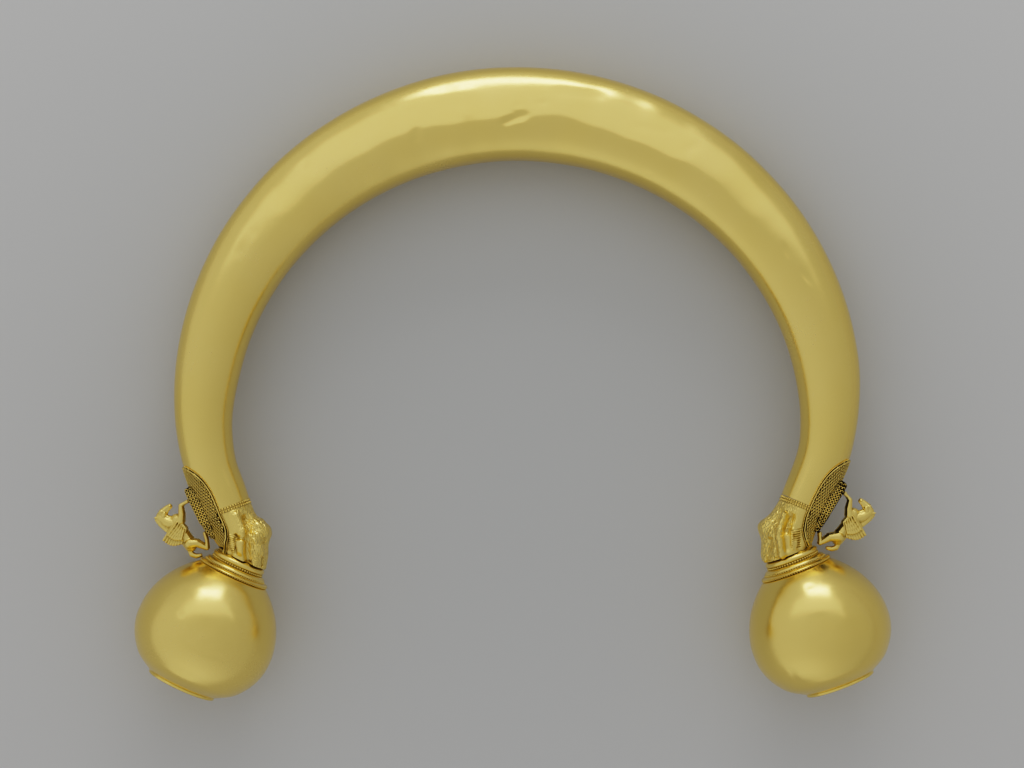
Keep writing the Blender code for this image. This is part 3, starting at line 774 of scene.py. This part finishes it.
# %% Model the wrist bands
BAND_HALF = (
    (0.0009, 0.0074), (0.0009, 0.00785), (0.00085, 0.00795), (0.00075, 0.00795), (0.0007, 0.0077), (0.0004, 0.0077),
)
BAND_OUTLINE = [(-height, radius) for height, radius in BAND_HALF] + [(0.0, 0.0077), *BAND_HALF[::-1]]
for limb in LIMBS:
    drum = lathe(f"{limb.name}_drum", BAND_OUTLINE, 96)
    rows = [grain_row("grains", 54, height, 0.00778, 0.00040) for height in (-0.00044, 0.00044)]
    band = join(f"{limb.name}_grained_band", [drum, *rows])
    band.data.transform(Matrix.Scale(1 - limb.heel_in / 2 / WRIST_RADIUS, 4, (1, 0, 0)))
    stand_on(band, limb.local(limb.band_at, -limb.heel_in / 2), limb.down)
    finish_piece(band, CHASED, "band", f"{limb.name}_wrist_band")

# %% [markdown]
# The paws
# The paw fans out from a round wrist to four toes that stand on the collar. It starts as the same kind of tube as the
# hoop. Grooves are pressed between the toes, and each toe swells at its knuckle.

# %% Model the paws
TOE_GROOVES = ((0, 0.08, 6, 0.35), (118, 0.05, 6, 0.45))
TOE_SWELLS = ((54, 0.02, 16, 0.35), (92, 0.02, 14, 0.45), (14, 0.02, 9, 0.4))
PAW_MARKS = {
    "left": (
        (((246.4, 519), (249.8, 530), (248.6, 541.8), (247.4, 551.4), (249.3, 562)), 2.1, 1.5),
        (((246.4, 524), (249.8, 535), (248.4, 541.8), (247.4, 551.4)), 0.6, 0.5),
        (((235, 516), (238, 524), (241.5, 532)), 2.4, -1.1), (((241, 532),), 1.8, -0.4),
        (((240.5, 543), (241.4, 551)), 2.2, -1), (((235, 535.5), (240, 540), (246, 539.5)), 0.9, 0.7),
        (((234, 538), (235.5, 553)), 0.8, 0.45), (((259.5, 525), (264.5, 529)), 3.2, -1),
        (((252, 516), (259, 522)), 2, -0.35), (((256, 538), (266, 541)), 1.3, 0.45),
        (((260, 548), (262, 553)), 2.2, -0.65), (((254, 545), (254, 560)), 0.9, 0.4),
        (((262.3, 558), (262, 566)), 0.6, 0.9), (((255.5, 530), (252.5, 545)), 0.9, 0.3),
    ),
    "right": (
        (((785.5, 515), (780.9, 527), (779.2, 535), (781, 544.5), (782.1, 555)), 1.7, 1.6),
        (((784.5, 516.5), (780.7, 527), (778.8, 535), (781.2, 544.5)), 0.6, 0.5),
        (((790.5, 518), (788.5, 523), (787.5, 529)), 2.4, -1.2), (((787.5, 528),), 1.8, -0.4),
        (((786.5, 534), (787.4, 547)), 2.6, -0.95), (((782.5, 531), (787, 532.5), (792, 529)), 0.9, 0.6),
        (((792, 534), (792.5, 549)), 0.8, 0.45), (((774, 521), (769, 526)), 3.4, -0.9),
        (((781, 512), (776, 518)), 2, -0.35), (((773, 535), (764, 538)), 1.3, 0.45),
        (((769.5, 542), (767.5, 551)), 2.8, -0.85), (((774.5, 542), (776, 556)), 0.9, 0.4),
        (((767.7, 553), (766.5, 561)), 0.6, 0.9), (((776, 528), (774, 541)), 0.9, 0.3),
    ),
}
HATCHED = {"left": (((229.5, 535), (228.5, 550)), ((236, 536.5), (233.5, 552))),
           "right": (((801, 529), (800.5, 547)), ((792.5, 531), (792, 548)))}
HATCH_BARS = 9


def toe_shape(angle, down_share):
    """How far the paw's skin stands in or out at an angle from the middle toes, as a share of the section."""
    shape = 1.0
    for sign, marks in ((-1, TOE_GROOVES), (1, TOE_SWELLS)):
        for centre, depth, spread, start in marks:
            reach = smooth_step((down_share - start) / 0.25)
            shape += sign * depth * reach * math.exp(-(((angle - centre) / spread) ** 2))
    return shape


PAW_RINGS = 156
PAW_AROUND = 224
for limb in LIMBS:
    rows = list(zip(*(curve_through(line, PAW_RINGS + 1) for line in zip(*limb.paw_sections()))))

    def paw_ring(share):
        heel, toe, deep = rows[round(share * PAW_RINGS)]
        centre, forward = (heel + toe) / 2, (toe - heel) / 2
        return lambda t: centre + (forward * math.cos(t) + UP * deep * math.sin(t)) * toe_shape(
            abs(math.degrees(t)), share
        )

    paw = tube(f"{limb.name}_lion_paw", PAW_AROUND, (11, 12), paw_ring)
    work_metal(paw, PAW_MARKS[limb.name], both_sides=True)
    first, second = HATCHED[limb.name]
    bars = []
    for i in range(HATCH_BARS):
        share = i / (HATCH_BARS - 1)
        ends = [(mix(top[0], low[0], share), mix(top[1], low[1], share)) for top, low in (first, second)]
        bars.append((ends, 0.3, -0.34))
    work_metal(paw, bars, both_sides=True)
    skin = paw.data.attributes.new("skin", "FLOAT_VECTOR", "POINT")
    for vertex, entry in zip(paw.data.vertices, skin.data):
        local = vertex.co - limb.wrist
        across = local.dot(limb.out)
        entry.vector = (math.atan2(vertex.co.z, -across) * 8, local.dot(limb.down) * 1000, 0)
    finish_piece(paw, FURRED, "paw", f"{limb.name}_paw")

# %% [markdown]
# The filigree plates
# A saddle of sheet gold sits on the outer side of each ankle, with a little platform for the horse. It carries a
# field of wire loops, a plain wire round the edge, and a row of grains outside that. One loop is modelled as a fine
# torus and copied over the field, because hundreds of loops made one by one would be slow and no better.

# %% Places on the plate
PLATE_TOP = -0.0172
PLATE_BOTTOM = 0.0134
PLATE_HALF_ANGLE = math.radians(80.0)
PAW_PLATE_HALF_ANGLE = math.radians(67.0)
PLATFORM_HALF_WIDTH = 0.0050
PLATFORM_REAR_HEIGHT = 0.0008
PLATE_GAP = 0.00010
PLATE_TIP = 0.0004
SHEET = 0.00030
PLATFORM_SHEET = 0.00016


def off_middle(place, top, bottom):
    """How far a place is from the middle between two ends: 0 there, and 1 at either end."""
    return min(abs(place - (top + bottom) / 2) / ((bottom - top) / 2), 1.0)


def plate_half_width(place, deep):
    """How far the plate reaches to each side at a place along it: an oval wrapped round the limb."""
    share = off_middle(place, PLATE_TOP, PLATE_BOTTOM)
    half_angle = mix(PLATE_HALF_ANGLE, PAW_PLATE_HALF_ANGLE, smooth_step((place - 0.002) / 0.008))
    return deep * math.sin(half_angle * max(1 - share**3, 0) ** 0.43)


def platform_half_width(place):
    share = off_middle(place, PLATFORM_TOP, PLATFORM_BOTTOM)
    return PLATFORM_HALF_WIDTH * mix(0.55, 1.0, (1 - share**3) ** 0.5)


def wall_width(limb, place):
    """Half the platform's width, which the plate under it limits near its ends."""
    deep = limb.section(place)[2]
    return min(platform_half_width(place), plate_half_width(place, deep) * 0.72)


def platform_point(limb, place, sideways):
    """A point on the flat top of the platform."""
    share = (place - PLATFORM_TOP) / (PLATFORM_BOTTOM - PLATFORM_TOP)
    heel, toe, _ = limb.section(place)
    height = mix(limb.platform_front, PLATFORM_REAR_HEIGHT, share) * smooth_step(0.45 + share / 0.10)
    return heel + (heel - toe).normalized() * height + UP * sideways


# %% Sheets of the plate
def wrapped_sheet(name, rows, columns, place, thickness, offset):
    """A grid primitive whose points are moved to place(along, across), each from 0 to 1, and given a thickness. It is
    marked as ground, so that the filigree finish paints it near black as painted shade."""
    clear_selection()
    bpy.ops.mesh.primitive_grid_add(x_subdivisions=rows, y_subdivisions=columns, size=1)
    sheet = bpy.context.object
    sheet.name = sheet.data.name = name
    for vertex in sheet.data.vertices:
        vertex.co = place(vertex.co.x + 0.5, vertex.co.y + 0.5)
    apply_modifier(sheet, "SOLIDIFY", thickness=thickness, offset=offset)
    face_outwards()
    painted_shade_ground = sheet.data.attributes.new("painted_shade_ground", "FLOAT", "POINT")
    painted_shade_ground.data.foreach_set("value", [1.0] * len(sheet.data.vertices))
    return sheet


def saddle(limb):
    """The thin sheet that lies on the limb."""
    def place(along, across):
        spot = mix(PLATE_TOP + PLATE_TIP, PLATE_BOTTOM - PLATE_TIP, along)
        wide = plate_half_width(spot, limb.section(spot)[2])
        return limb.on_surface(spot, math.sin((across * 2 - 1) * math.pi / 2) * wide, PLATE_GAP + SHEET / 2)

    return wrapped_sheet("saddle", 72, 40, place, SHEET, 0)


def platform(limb):
    """The raised platform with its walls, open under the saddle's level."""
    def place(along, across):
        spot = mix(PLATFORM_TOP, PLATFORM_BOTTOM, along)
        wall = wall_width(limb, spot)
        side = across * 2 - 1
        top = platform_point(limb, spot, max(-1.0, min(1.0, side / 0.8)) * wall)
        if 0 < along < 1 and abs(side) <= 0.8:
            return top
        foot_share = 1.0 if along in (0, 1) else (abs(side) - 0.8) / 0.2
        foot_wide = (wall + 0.0003 * foot_share) * max(-1.0, min(1.0, side / 0.8))
        foot = limb.on_surface(spot, foot_wide, PLATE_GAP + SHEET / 2)
        return mix(top, foot, foot_share)

    return wrapped_sheet("platform", 48, 40, place, PLATFORM_SHEET, -1)


# %% Wire round the edge
LOOP_PITCH = 0.00102
LOOP_RADIUS = 0.00039
LOOP_WIRE = 0.00011
ROW_PITCH = LOOP_PITCH * 0.87


def wire(name, points, radius):
    """A fine wire round a closed line of points, made as a bevelled curve and turned into a mesh."""
    curve = bpy.data.curves.new(name, "CURVE")
    curve.dimensions = "3D"
    curve.bevel_depth = radius
    curve.bevel_resolution = 2
    spline = curve.splines.new("POLY")
    spline.points.add(len(points) - 1)
    spline.use_cyclic_u = True
    for spot, point in zip(spline.points, points):
        spot.co = (*point, 1)
    piece = bpy.data.objects.new(name, curve)
    bpy.context.scene.collection.objects.link(piece)
    take(piece)
    bpy.ops.object.convert(target="MESH")
    return bpy.context.object


def spaced(points, pitch):
    """Points set at an even pitch round a closed line of closely spaced points."""
    loop = [*points, points[0]]
    lengths = [(b - a).length for a, b in zip(loop, loop[1:])]
    count = max(round(sum(lengths) / pitch), 1)
    found, k, walked = [], 0, 0.0
    for i in range(count):
        target = sum(lengths) * i / count
        while walked + lengths[k] < target:
            walked += lengths[k]
            k += 1
        found.append(loop[k].lerp(loop[k + 1], (target - walked) / lengths[k]))
    return found


def edge_line(limb, inset, height, count=90):
    """The plate's edge as a closed line, drawn in from the rim by an inset."""
    line = []
    for i in range(2 * count):
        share = 0.5 - 0.5 * math.cos(math.pi * (i + 0.5) / count)
        side = 1 if i < count else -1
        place = mix(PLATE_TOP + PLATE_TIP + inset, PLATE_BOTTOM - PLATE_TIP - inset, share)
        deep = limb.section(place)[2]
        half = plate_half_width(mix(PLATE_TOP + PLATE_TIP, PLATE_BOTTOM - PLATE_TIP, share), deep)
        angle = max(math.asin(min(half / deep, 1.0)) - inset / deep, 0.0)
        line.append(limb.on_surface(place, side * deep * math.sin(angle), height))
    return line


# %% Places for the loops
def facing(spot, along, across, outwards, lift):
    """The matrix of a loop that lies on a surface with these two directions, and faces outwards."""
    normal = along.cross(across).normalized()
    if normal.dot(outwards) < 0:
        normal = -normal
    return Matrix.Translation(spot + normal * lift) @ axes(along, normal.cross(along), normal)


def field_loops(limb):
    """Matrices for the loops on the saddle and on the platform's top."""
    places = []
    for i in range(1, int((PLATE_BOTTOM - PLATE_TOP) / ROW_PITCH)):
        place = PLATE_TOP + i * ROW_PITCH
        heel, toe, deep = limb.section(place)
        centre = (heel + toe) / 2
        half = plate_half_width(place, deep)
        inner = wall_width(limb, place) + 0.0004 if PLATFORM_TOP < place < PLATFORM_BOTTOM else 0.0
        limit = math.asin(min(half / deep, 1.0)) - 0.00085 / deep
        steps = int(max(limit, 0) * deep / LOOP_PITCH) + 1
        for k in range(-steps, steps + 1):
            angle = (k + 0.5 * (i % 2)) * LOOP_PITCH / deep
            sideways = deep * math.sin(angle)
            raised = abs(sideways) < inner - 0.0008
            if abs(angle) > limit or (not raised and abs(sideways) < inner):
                continue
            if raised:
                surface, lift = lambda a, b: platform_point(limb, a, b), 0.00002
            else:
                surface, lift = lambda a, b: limb.on_surface(a, b, PLATE_GAP + SHEET), 0.00003
            here = surface(place, sideways)
            down = (surface(place + 1e-4, sideways) - here).normalized()
            side = (surface(place, sideways + 1e-4) - here).normalized()
            places.append(facing(here, down, side, here - centre, lift))
    return places


def wall_loops(limb):
    """Matrices for the loops on the two walls of the platform."""
    places = []
    length = PLATFORM_BOTTOM - PLATFORM_TOP
    count = int(length / LOOP_PITCH)
    for side, i in itertools.product((-1, 1), range(count)):
        place = PLATFORM_TOP + 0.0004 + (length - 0.0008) * (i + 0.5) / count
        wall = wall_width(limb, place)
        top = platform_point(limb, place, side * wall)
        drop = limb.on_surface(place, side * (wall + 0.0003), PLATE_GAP + SHEET) - top
        ahead = (platform_point(limb, place + 1e-4, side * wall) - top).normalized()
        levels = max(int(drop.length / 0.00095), 1)
        for level in range(levels):
            spot = top + drop * (level + 0.5) / levels
            places.append(facing(spot, ahead, drop, UP * side, 0.00004) @ Matrix.Scale(1.15, 4))
    return places


# %% Build the plates
for limb in LIMBS:
    clear_selection()
    bpy.ops.mesh.primitive_torus_add(
        major_radius=LOOP_RADIUS, minor_radius=LOOP_WIRE, major_segments=10, minor_segments=5
    )
    loops = copies("loops", bpy.context.object, field_loops(limb) + wall_loops(limb))
    border = wire("border", edge_line(limb, 0.00045, PLATE_GAP + SHEET + 0.00005), 0.00022)
    clear_selection()
    bpy.ops.mesh.primitive_uv_sphere_add(segments=8, ring_count=5, radius=0.00021)
    rim_spots = spaced(edge_line(limb, 0.0, PLATE_GAP + 0.00014), 0.00046)
    grains = copies("grains", bpy.context.object, [Matrix.Translation(spot) for spot in rim_spots])
    plate = join(f"{limb.name}_filigree", [saddle(limb), platform(limb), loops, border, grains])
    finish_piece(plate, FILIGREE, "filigree", f"{limb.name}_filigree_plate")

# %% [markdown]
# The winged horses
# Each horse is a tiny casting. It is massed from tapering rods, the way a modeller rolls wax, with finer rods for
# feathers, mane, eyes and nostrils. What comes in pairs is made on one side and mirrored. A voxel remesh fuses it.

# %% The rods of a horse
HORSE_GRID = 38
HORSE_HEIGHT = 0.0121
HORSE_UNIT = HORSE_HEIGHT / HORSE_GRID
HORSE_VOXEL = 0.00011
HOOVES_AT = {"left": (-0.0069, 0.0045, 0.0), "right": (-0.0078, 0.0071, 3.5)}
HORSE_MIDDLE = (
    ((7, 20.5, 0, 6.4), (-2, 21.8, 0, 6.6), (-11, 21.2, 0, 6.6), (-18, 20.6, 0, 7.1), (-22.5, 20.8, 0, 6.2)),
    ((5, 25.5, 0, 6.0), (10.5, 30.5, 0, 5.2), (16, 33, 0, 4.4)),
    ((7, 21.5, 0, 5.0), (11, 26.5, 0, 3.6), (15, 29, 0, 3.4)),
    ((-3, 29.5, 0, 2.8), (3, 34, 0, 2.6), (10, 36.6, 0, 2.4), (16.5, 36.8, 0, 2.0)),
    ((18.2, 33.6, 0, 3.8), (20.8, 29.4, 0, 3.5), (22.2, 24.4, 0, 2.6), (22.6, 19.8, 0, 2.2)),
    ((17.6, 29.2, 0, 3.2), (20.2, 23.4, 0, 1.9), (21.4, 19.2, 0, 1.7)),
    ((-25, 23.5, 0, 2.6), (-30.5, 24.0, 0, 2.7), (-34.0, 21.0, 0, 2.5), (-35.6, 16.8, 0, 2.0)),
)
HORSE_HEAD_PAIRS = (
    ((18.2, 36.2, 1.8, 1.4), (19.2, 38.4, 2.3, 0.9)), ((16.6, 30.2, 1.8, 2.9), (18.4, 28.2, 2.0, 2.3)),
    ((22.8, 30.2, 2.8, 0.9), (20.4, 32.8, 3.1, 0.9)), ((21.0, 29.8, 3.3, 0.85), (21.2, 29.6, 3.3, 0.85)),
    ((22.6, 20.4, 1.9, 1.0), (22.0, 19.6, 2.1, 0.8)),
)
HORSE_LEGS = {
    "left": (
        ((4, 17.5, 3.2, 4.6), (9, 13.4, 3.6, 3.4), (17.4, 9.6, 3.6, 2.3), (17.9, 5, 3.4, 1.6), (17.9, 2, 3.4, 2.0)),
        ((-20, 20, 3.4, 5.8), (-23, 13.8, 4, 4.2), (-32.2, 7.2, 4, 2.4), (-25.5, 3.8, 3.8, 1.7), (-18.3, 2, 3.8, 2)),
    ),
    "right": (
        ((4, 17.5, 3.2, 4.6), (9, 13.6, 3.6, 3.4), (17, 10.2, 3.6, 2.3), (18.8, 5.6, 3.4, 1.6), (20, 2, 3.4, 2)),
        ((-20, 20, 3.4, 5.8), (-25, 12.8, 4, 4.2), (-35.2, 7.6, 4, 2.4), (-31, 5, 3.8, 1.7), (-27, 2, 3.8, 2)),
    ),
}

# %% Wings and mane
FEATHERS = 8
WING_ROOT = ((7.5, 18.5), (-5.0, 16.5))
WING_TIP = ((-4.5, 41.0), (-16.0, 27.0))
WING_ROWS = ((0.22, 5), (0.42, 6), (0.62, 7))


def wing_spot(share, reach, sideways, radius):
    """A place on the wing's fan: share runs across the feathers and reach from the shoulder to the tips."""
    bow = math.sin(math.pi * share) * 3.2 * reach
    first, last = (mix(Vector(root), Vector(tip), reach) for root, tip in zip(WING_ROOT, WING_TIP))
    spot = mix(first, last, share)
    return spot.x - bow * 0.75, spot.y + bow * 0.66, sideways, radius


def mane_and_wings():
    """The chains of the mane, and those of the wing on one side."""
    mane, wing = [], []
    for i in range(8):
        share = i / 7
        tip = Vector((mix(-1, 17.0, share), mix(32.8, 39.0, math.sin(share * math.pi / 2))))
        mane.append([(tip.x + 1.8, tip.y - 5.0, 0, 3.2), (tip.x - 0.6, tip.y, 0, 1.2)])
    for i in range(FEATHERS):
        share = i / (FEATHERS - 1)
        joints = ((0.0, 4.6, 1.9), (0.55, 5.4, 1.5), (1.0, 6.6, 1.2))
        wing.append([wing_spot(share, *joint) for joint in joints])
    for reach, count in WING_ROWS:
        for i in range(count):
            share, side = (i + 0.5) / count, 6.6 + reach * 1.6
            joints = ((reach - 0.12, side, 0.8), (reach + 0.10, side + 0.5, 1.3))
            wing.append([wing_spot(share, *joint) for joint in joints])
    return mane, wing


# %% Model one horse
def rods(name, chains):
    """Tapering rods with round joints along each chain of (forward, up, sideways, radius), in grid units."""
    clear_selection()
    for chain in chains:
        joints = [(Vector((f, z, u)), radius) for f, u, z, radius in chain]
        for place, radius in joints:
            bpy.ops.mesh.primitive_uv_sphere_add(segments=12, ring_count=8, radius=radius, location=place)
            if bpy.context.mode == "OBJECT":
                piece = bpy.context.object
                bpy.ops.object.transform_apply()
                bpy.ops.object.mode_set(mode="EDIT")
        for (start, start_radius), (end, end_radius) in zip(joints, joints[1:]):
            bpy.ops.mesh.primitive_cone_add(
                vertices=12, radius1=start_radius, radius2=end_radius, depth=(end - start).length,
                location=(start + end) / 2, rotation=(end - start).to_track_quat("Z", "Y").to_euler(),
            )
    bpy.ops.object.mode_set(mode="OBJECT")
    piece.name = piece.data.name = name
    return piece


def model_horse(name, legs):
    """The horse in grid units, standing on the XY plane and facing +X."""
    mane, wing = mane_and_wings()
    middle = rods(name, (*HORSE_MIDDLE, *mane))
    pairs = rods("pairs", (*HORSE_HEAD_PAIRS, *wing, *legs))
    apply_modifier(pairs, "MIRROR", use_axis=(False, True, False), use_mirror_merge=False)
    horse = join(name, [middle, pairs])
    apply_modifier(horse, "REMESH", mode="VOXEL", voxel_size=HORSE_VOXEL / HORSE_UNIT)
    apply_modifier(horse, "SMOOTH", factor=0.5, iterations=2)
    return horse


# %% Stand a horse on each platform
for limb in LIMBS:
    fore_at, hind_at, shifted = HOOVES_AT[limb.name]
    fore, hind = platform_point(limb, fore_at, 0), platform_point(limb, hind_at, 0)
    forward = (fore - hind).normalized()
    upwards = (limb.out - forward * limb.out.dot(forward)).normalized()
    columns = axes(forward, upwards.cross(forward), upwards) @ Matrix.Scale(HORSE_UNIT, 4)
    horse = model_horse(f"{limb.name}_cast_horse", HORSE_LEGS[limb.name])
    middle = (fore + hind) / 2 + upwards * FIT_GAP + forward * shifted * HORSE_UNIT
    horse.data.transform(Matrix.Translation(middle) @ columns)
    finish_piece(horse, CAST, "cast", f"{limb.name}_winged_horse")

# %% [markdown]
# Floor and light
# The torc lies on pale board inside a tent of soft light. The board is painted darker round the torc's middle, a
# painted shade. The world is that tent, a little brighter to the left and towards the back, and large area lights add
# the bright bands that polished gold shows.

# %% The floor
clear_selection()
bpy.ops.mesh.primitive_plane_add(size=4)
floor = bpy.context.object
floor.name = "floor"
board = Finish("pale_board")
board_place = board.add("TexCoord", {}, {}, 3)
board_grain = board.add("TexNoise", {}, {"Vector": board_place, "Scale": 3.0, "Detail": 2.0})
# Painted shade: the board is darker within about a quarter metre of the torc's middle and paler beyond, standing for
# the shade round the torc.
from_middle = board.add("VectorMath", {"operation": "DISTANCE"}, {0: board_place, 1: (0.0, 0.02, 0.0)}, 1)
painted_shade_falloff = board.add("MapRange", {"interpolation_type": "SMOOTHSTEP"}, {0: from_middle, 1: 0.03, 2: 0.26})
board.set("Base Color", board.blend(painted_shade_falloff + (board_grain - 0.5) * 0.1, (0.564, 0.568, 0.564), (0.665, 0.66, 0.65)))
board.set("Roughness", 0.9)
floor.data.materials.append(board.material)

# %% The tent of light
world = bpy.data.worlds.new("light_tent")
world.use_nodes = True
bpy.context.scene.world = world
tent = Graph(world.node_tree)
direction = tent.add("TexCoord", {}, {}, 0)
rightwards = tent.add("SeparateXYZ", {}, {0: direction}, 0)
backwards, upwards = rightwards.beside(1), rightwards.beside(2)
sockets = {0: direction, 1: (-0.25, -0.93, 0.26)}
toward_front = tent.add("VectorMath", {"operation": "DOT_PRODUCT"}, sockets, 1)
glow = 0.93 - rightwards * 0.13 + backwards * 0.06 + (upwards.above(0.0) ** 0.5 - 0.5) * 0.06
glow = glow + (toward_front.above(0.0) ** 5.0) * 0.30
sky = tent.nodes["Background"]
sky.inputs["Color"].default_value = (0.985, 0.99, 1.0, 1)
tent.links.new(glow.socket, sky.inputs["Strength"])


def soft_box(name, place, size, brightness, colour, facing=None):
    """A rectangular area light, as bright as asked next to the tent's 1. It looks at the torc unless told where."""
    light = bpy.data.lights.new(name, "AREA")
    light.shape = "RECTANGLE"
    light.size, light.size_y = size
    light.energy = brightness * math.pi * size[0] * size[1]
    light.color = colour
    box = bpy.data.objects.new(name, light)
    aim = Vector(facing) if facing else -Vector(place)
    box.matrix_world = Matrix.Translation(place) @ aim.to_track_quat("-Z", "Y").to_matrix().to_4x4()
    bpy.context.scene.collection.objects.link(box)
    print(f"{name}: {light.energy:.2f} W")


soft_box("back_box", (0.03, 0.95, 0.36), (0.60, 0.26), 5.8, (1.0, 0.995, 0.98))
soft_box("back_panel", (0.0, 0.33, 0.31), (0.74, 0.36), 0.50, (1.0, 1.0, 0.99), (0, 0, -1))

# %% [markdown]
# The picture's contrast
# The photograph has deep hollows and soft highlights, the way a camera's curve draws them. The same S-shaped curve,
# x^p / (1 + x^p), goes into the view settings, so that the light itself can stay simple.

# %% The contrast curve
CONTRAST = 1.6
BRIGHTEST = 8.0
view = bpy.context.scene.view_settings
view.view_transform = "Standard"
view.use_curve_mapping = True
mapping = view.curve_mapping
mapping.clip_max_x = BRIGHTEST
mapping.clip_max_y = 1.0
combined = mapping.curves[3].points
combined[1].location = (BRIGHTEST, BRIGHTEST**CONTRAST / (1 + BRIGHTEST**CONTRAST))
for level in (0.05, 0.1, 0.2, 0.3, 0.45, 0.6, 0.8, 1.0, 1.3, 1.7, 2.3, 3.2, 4.5, 6.0):
    combined.new(level, level**CONTRAST / (1 + level**CONTRAST))
mapping.update()
print("points on the contrast curve:", len(combined))
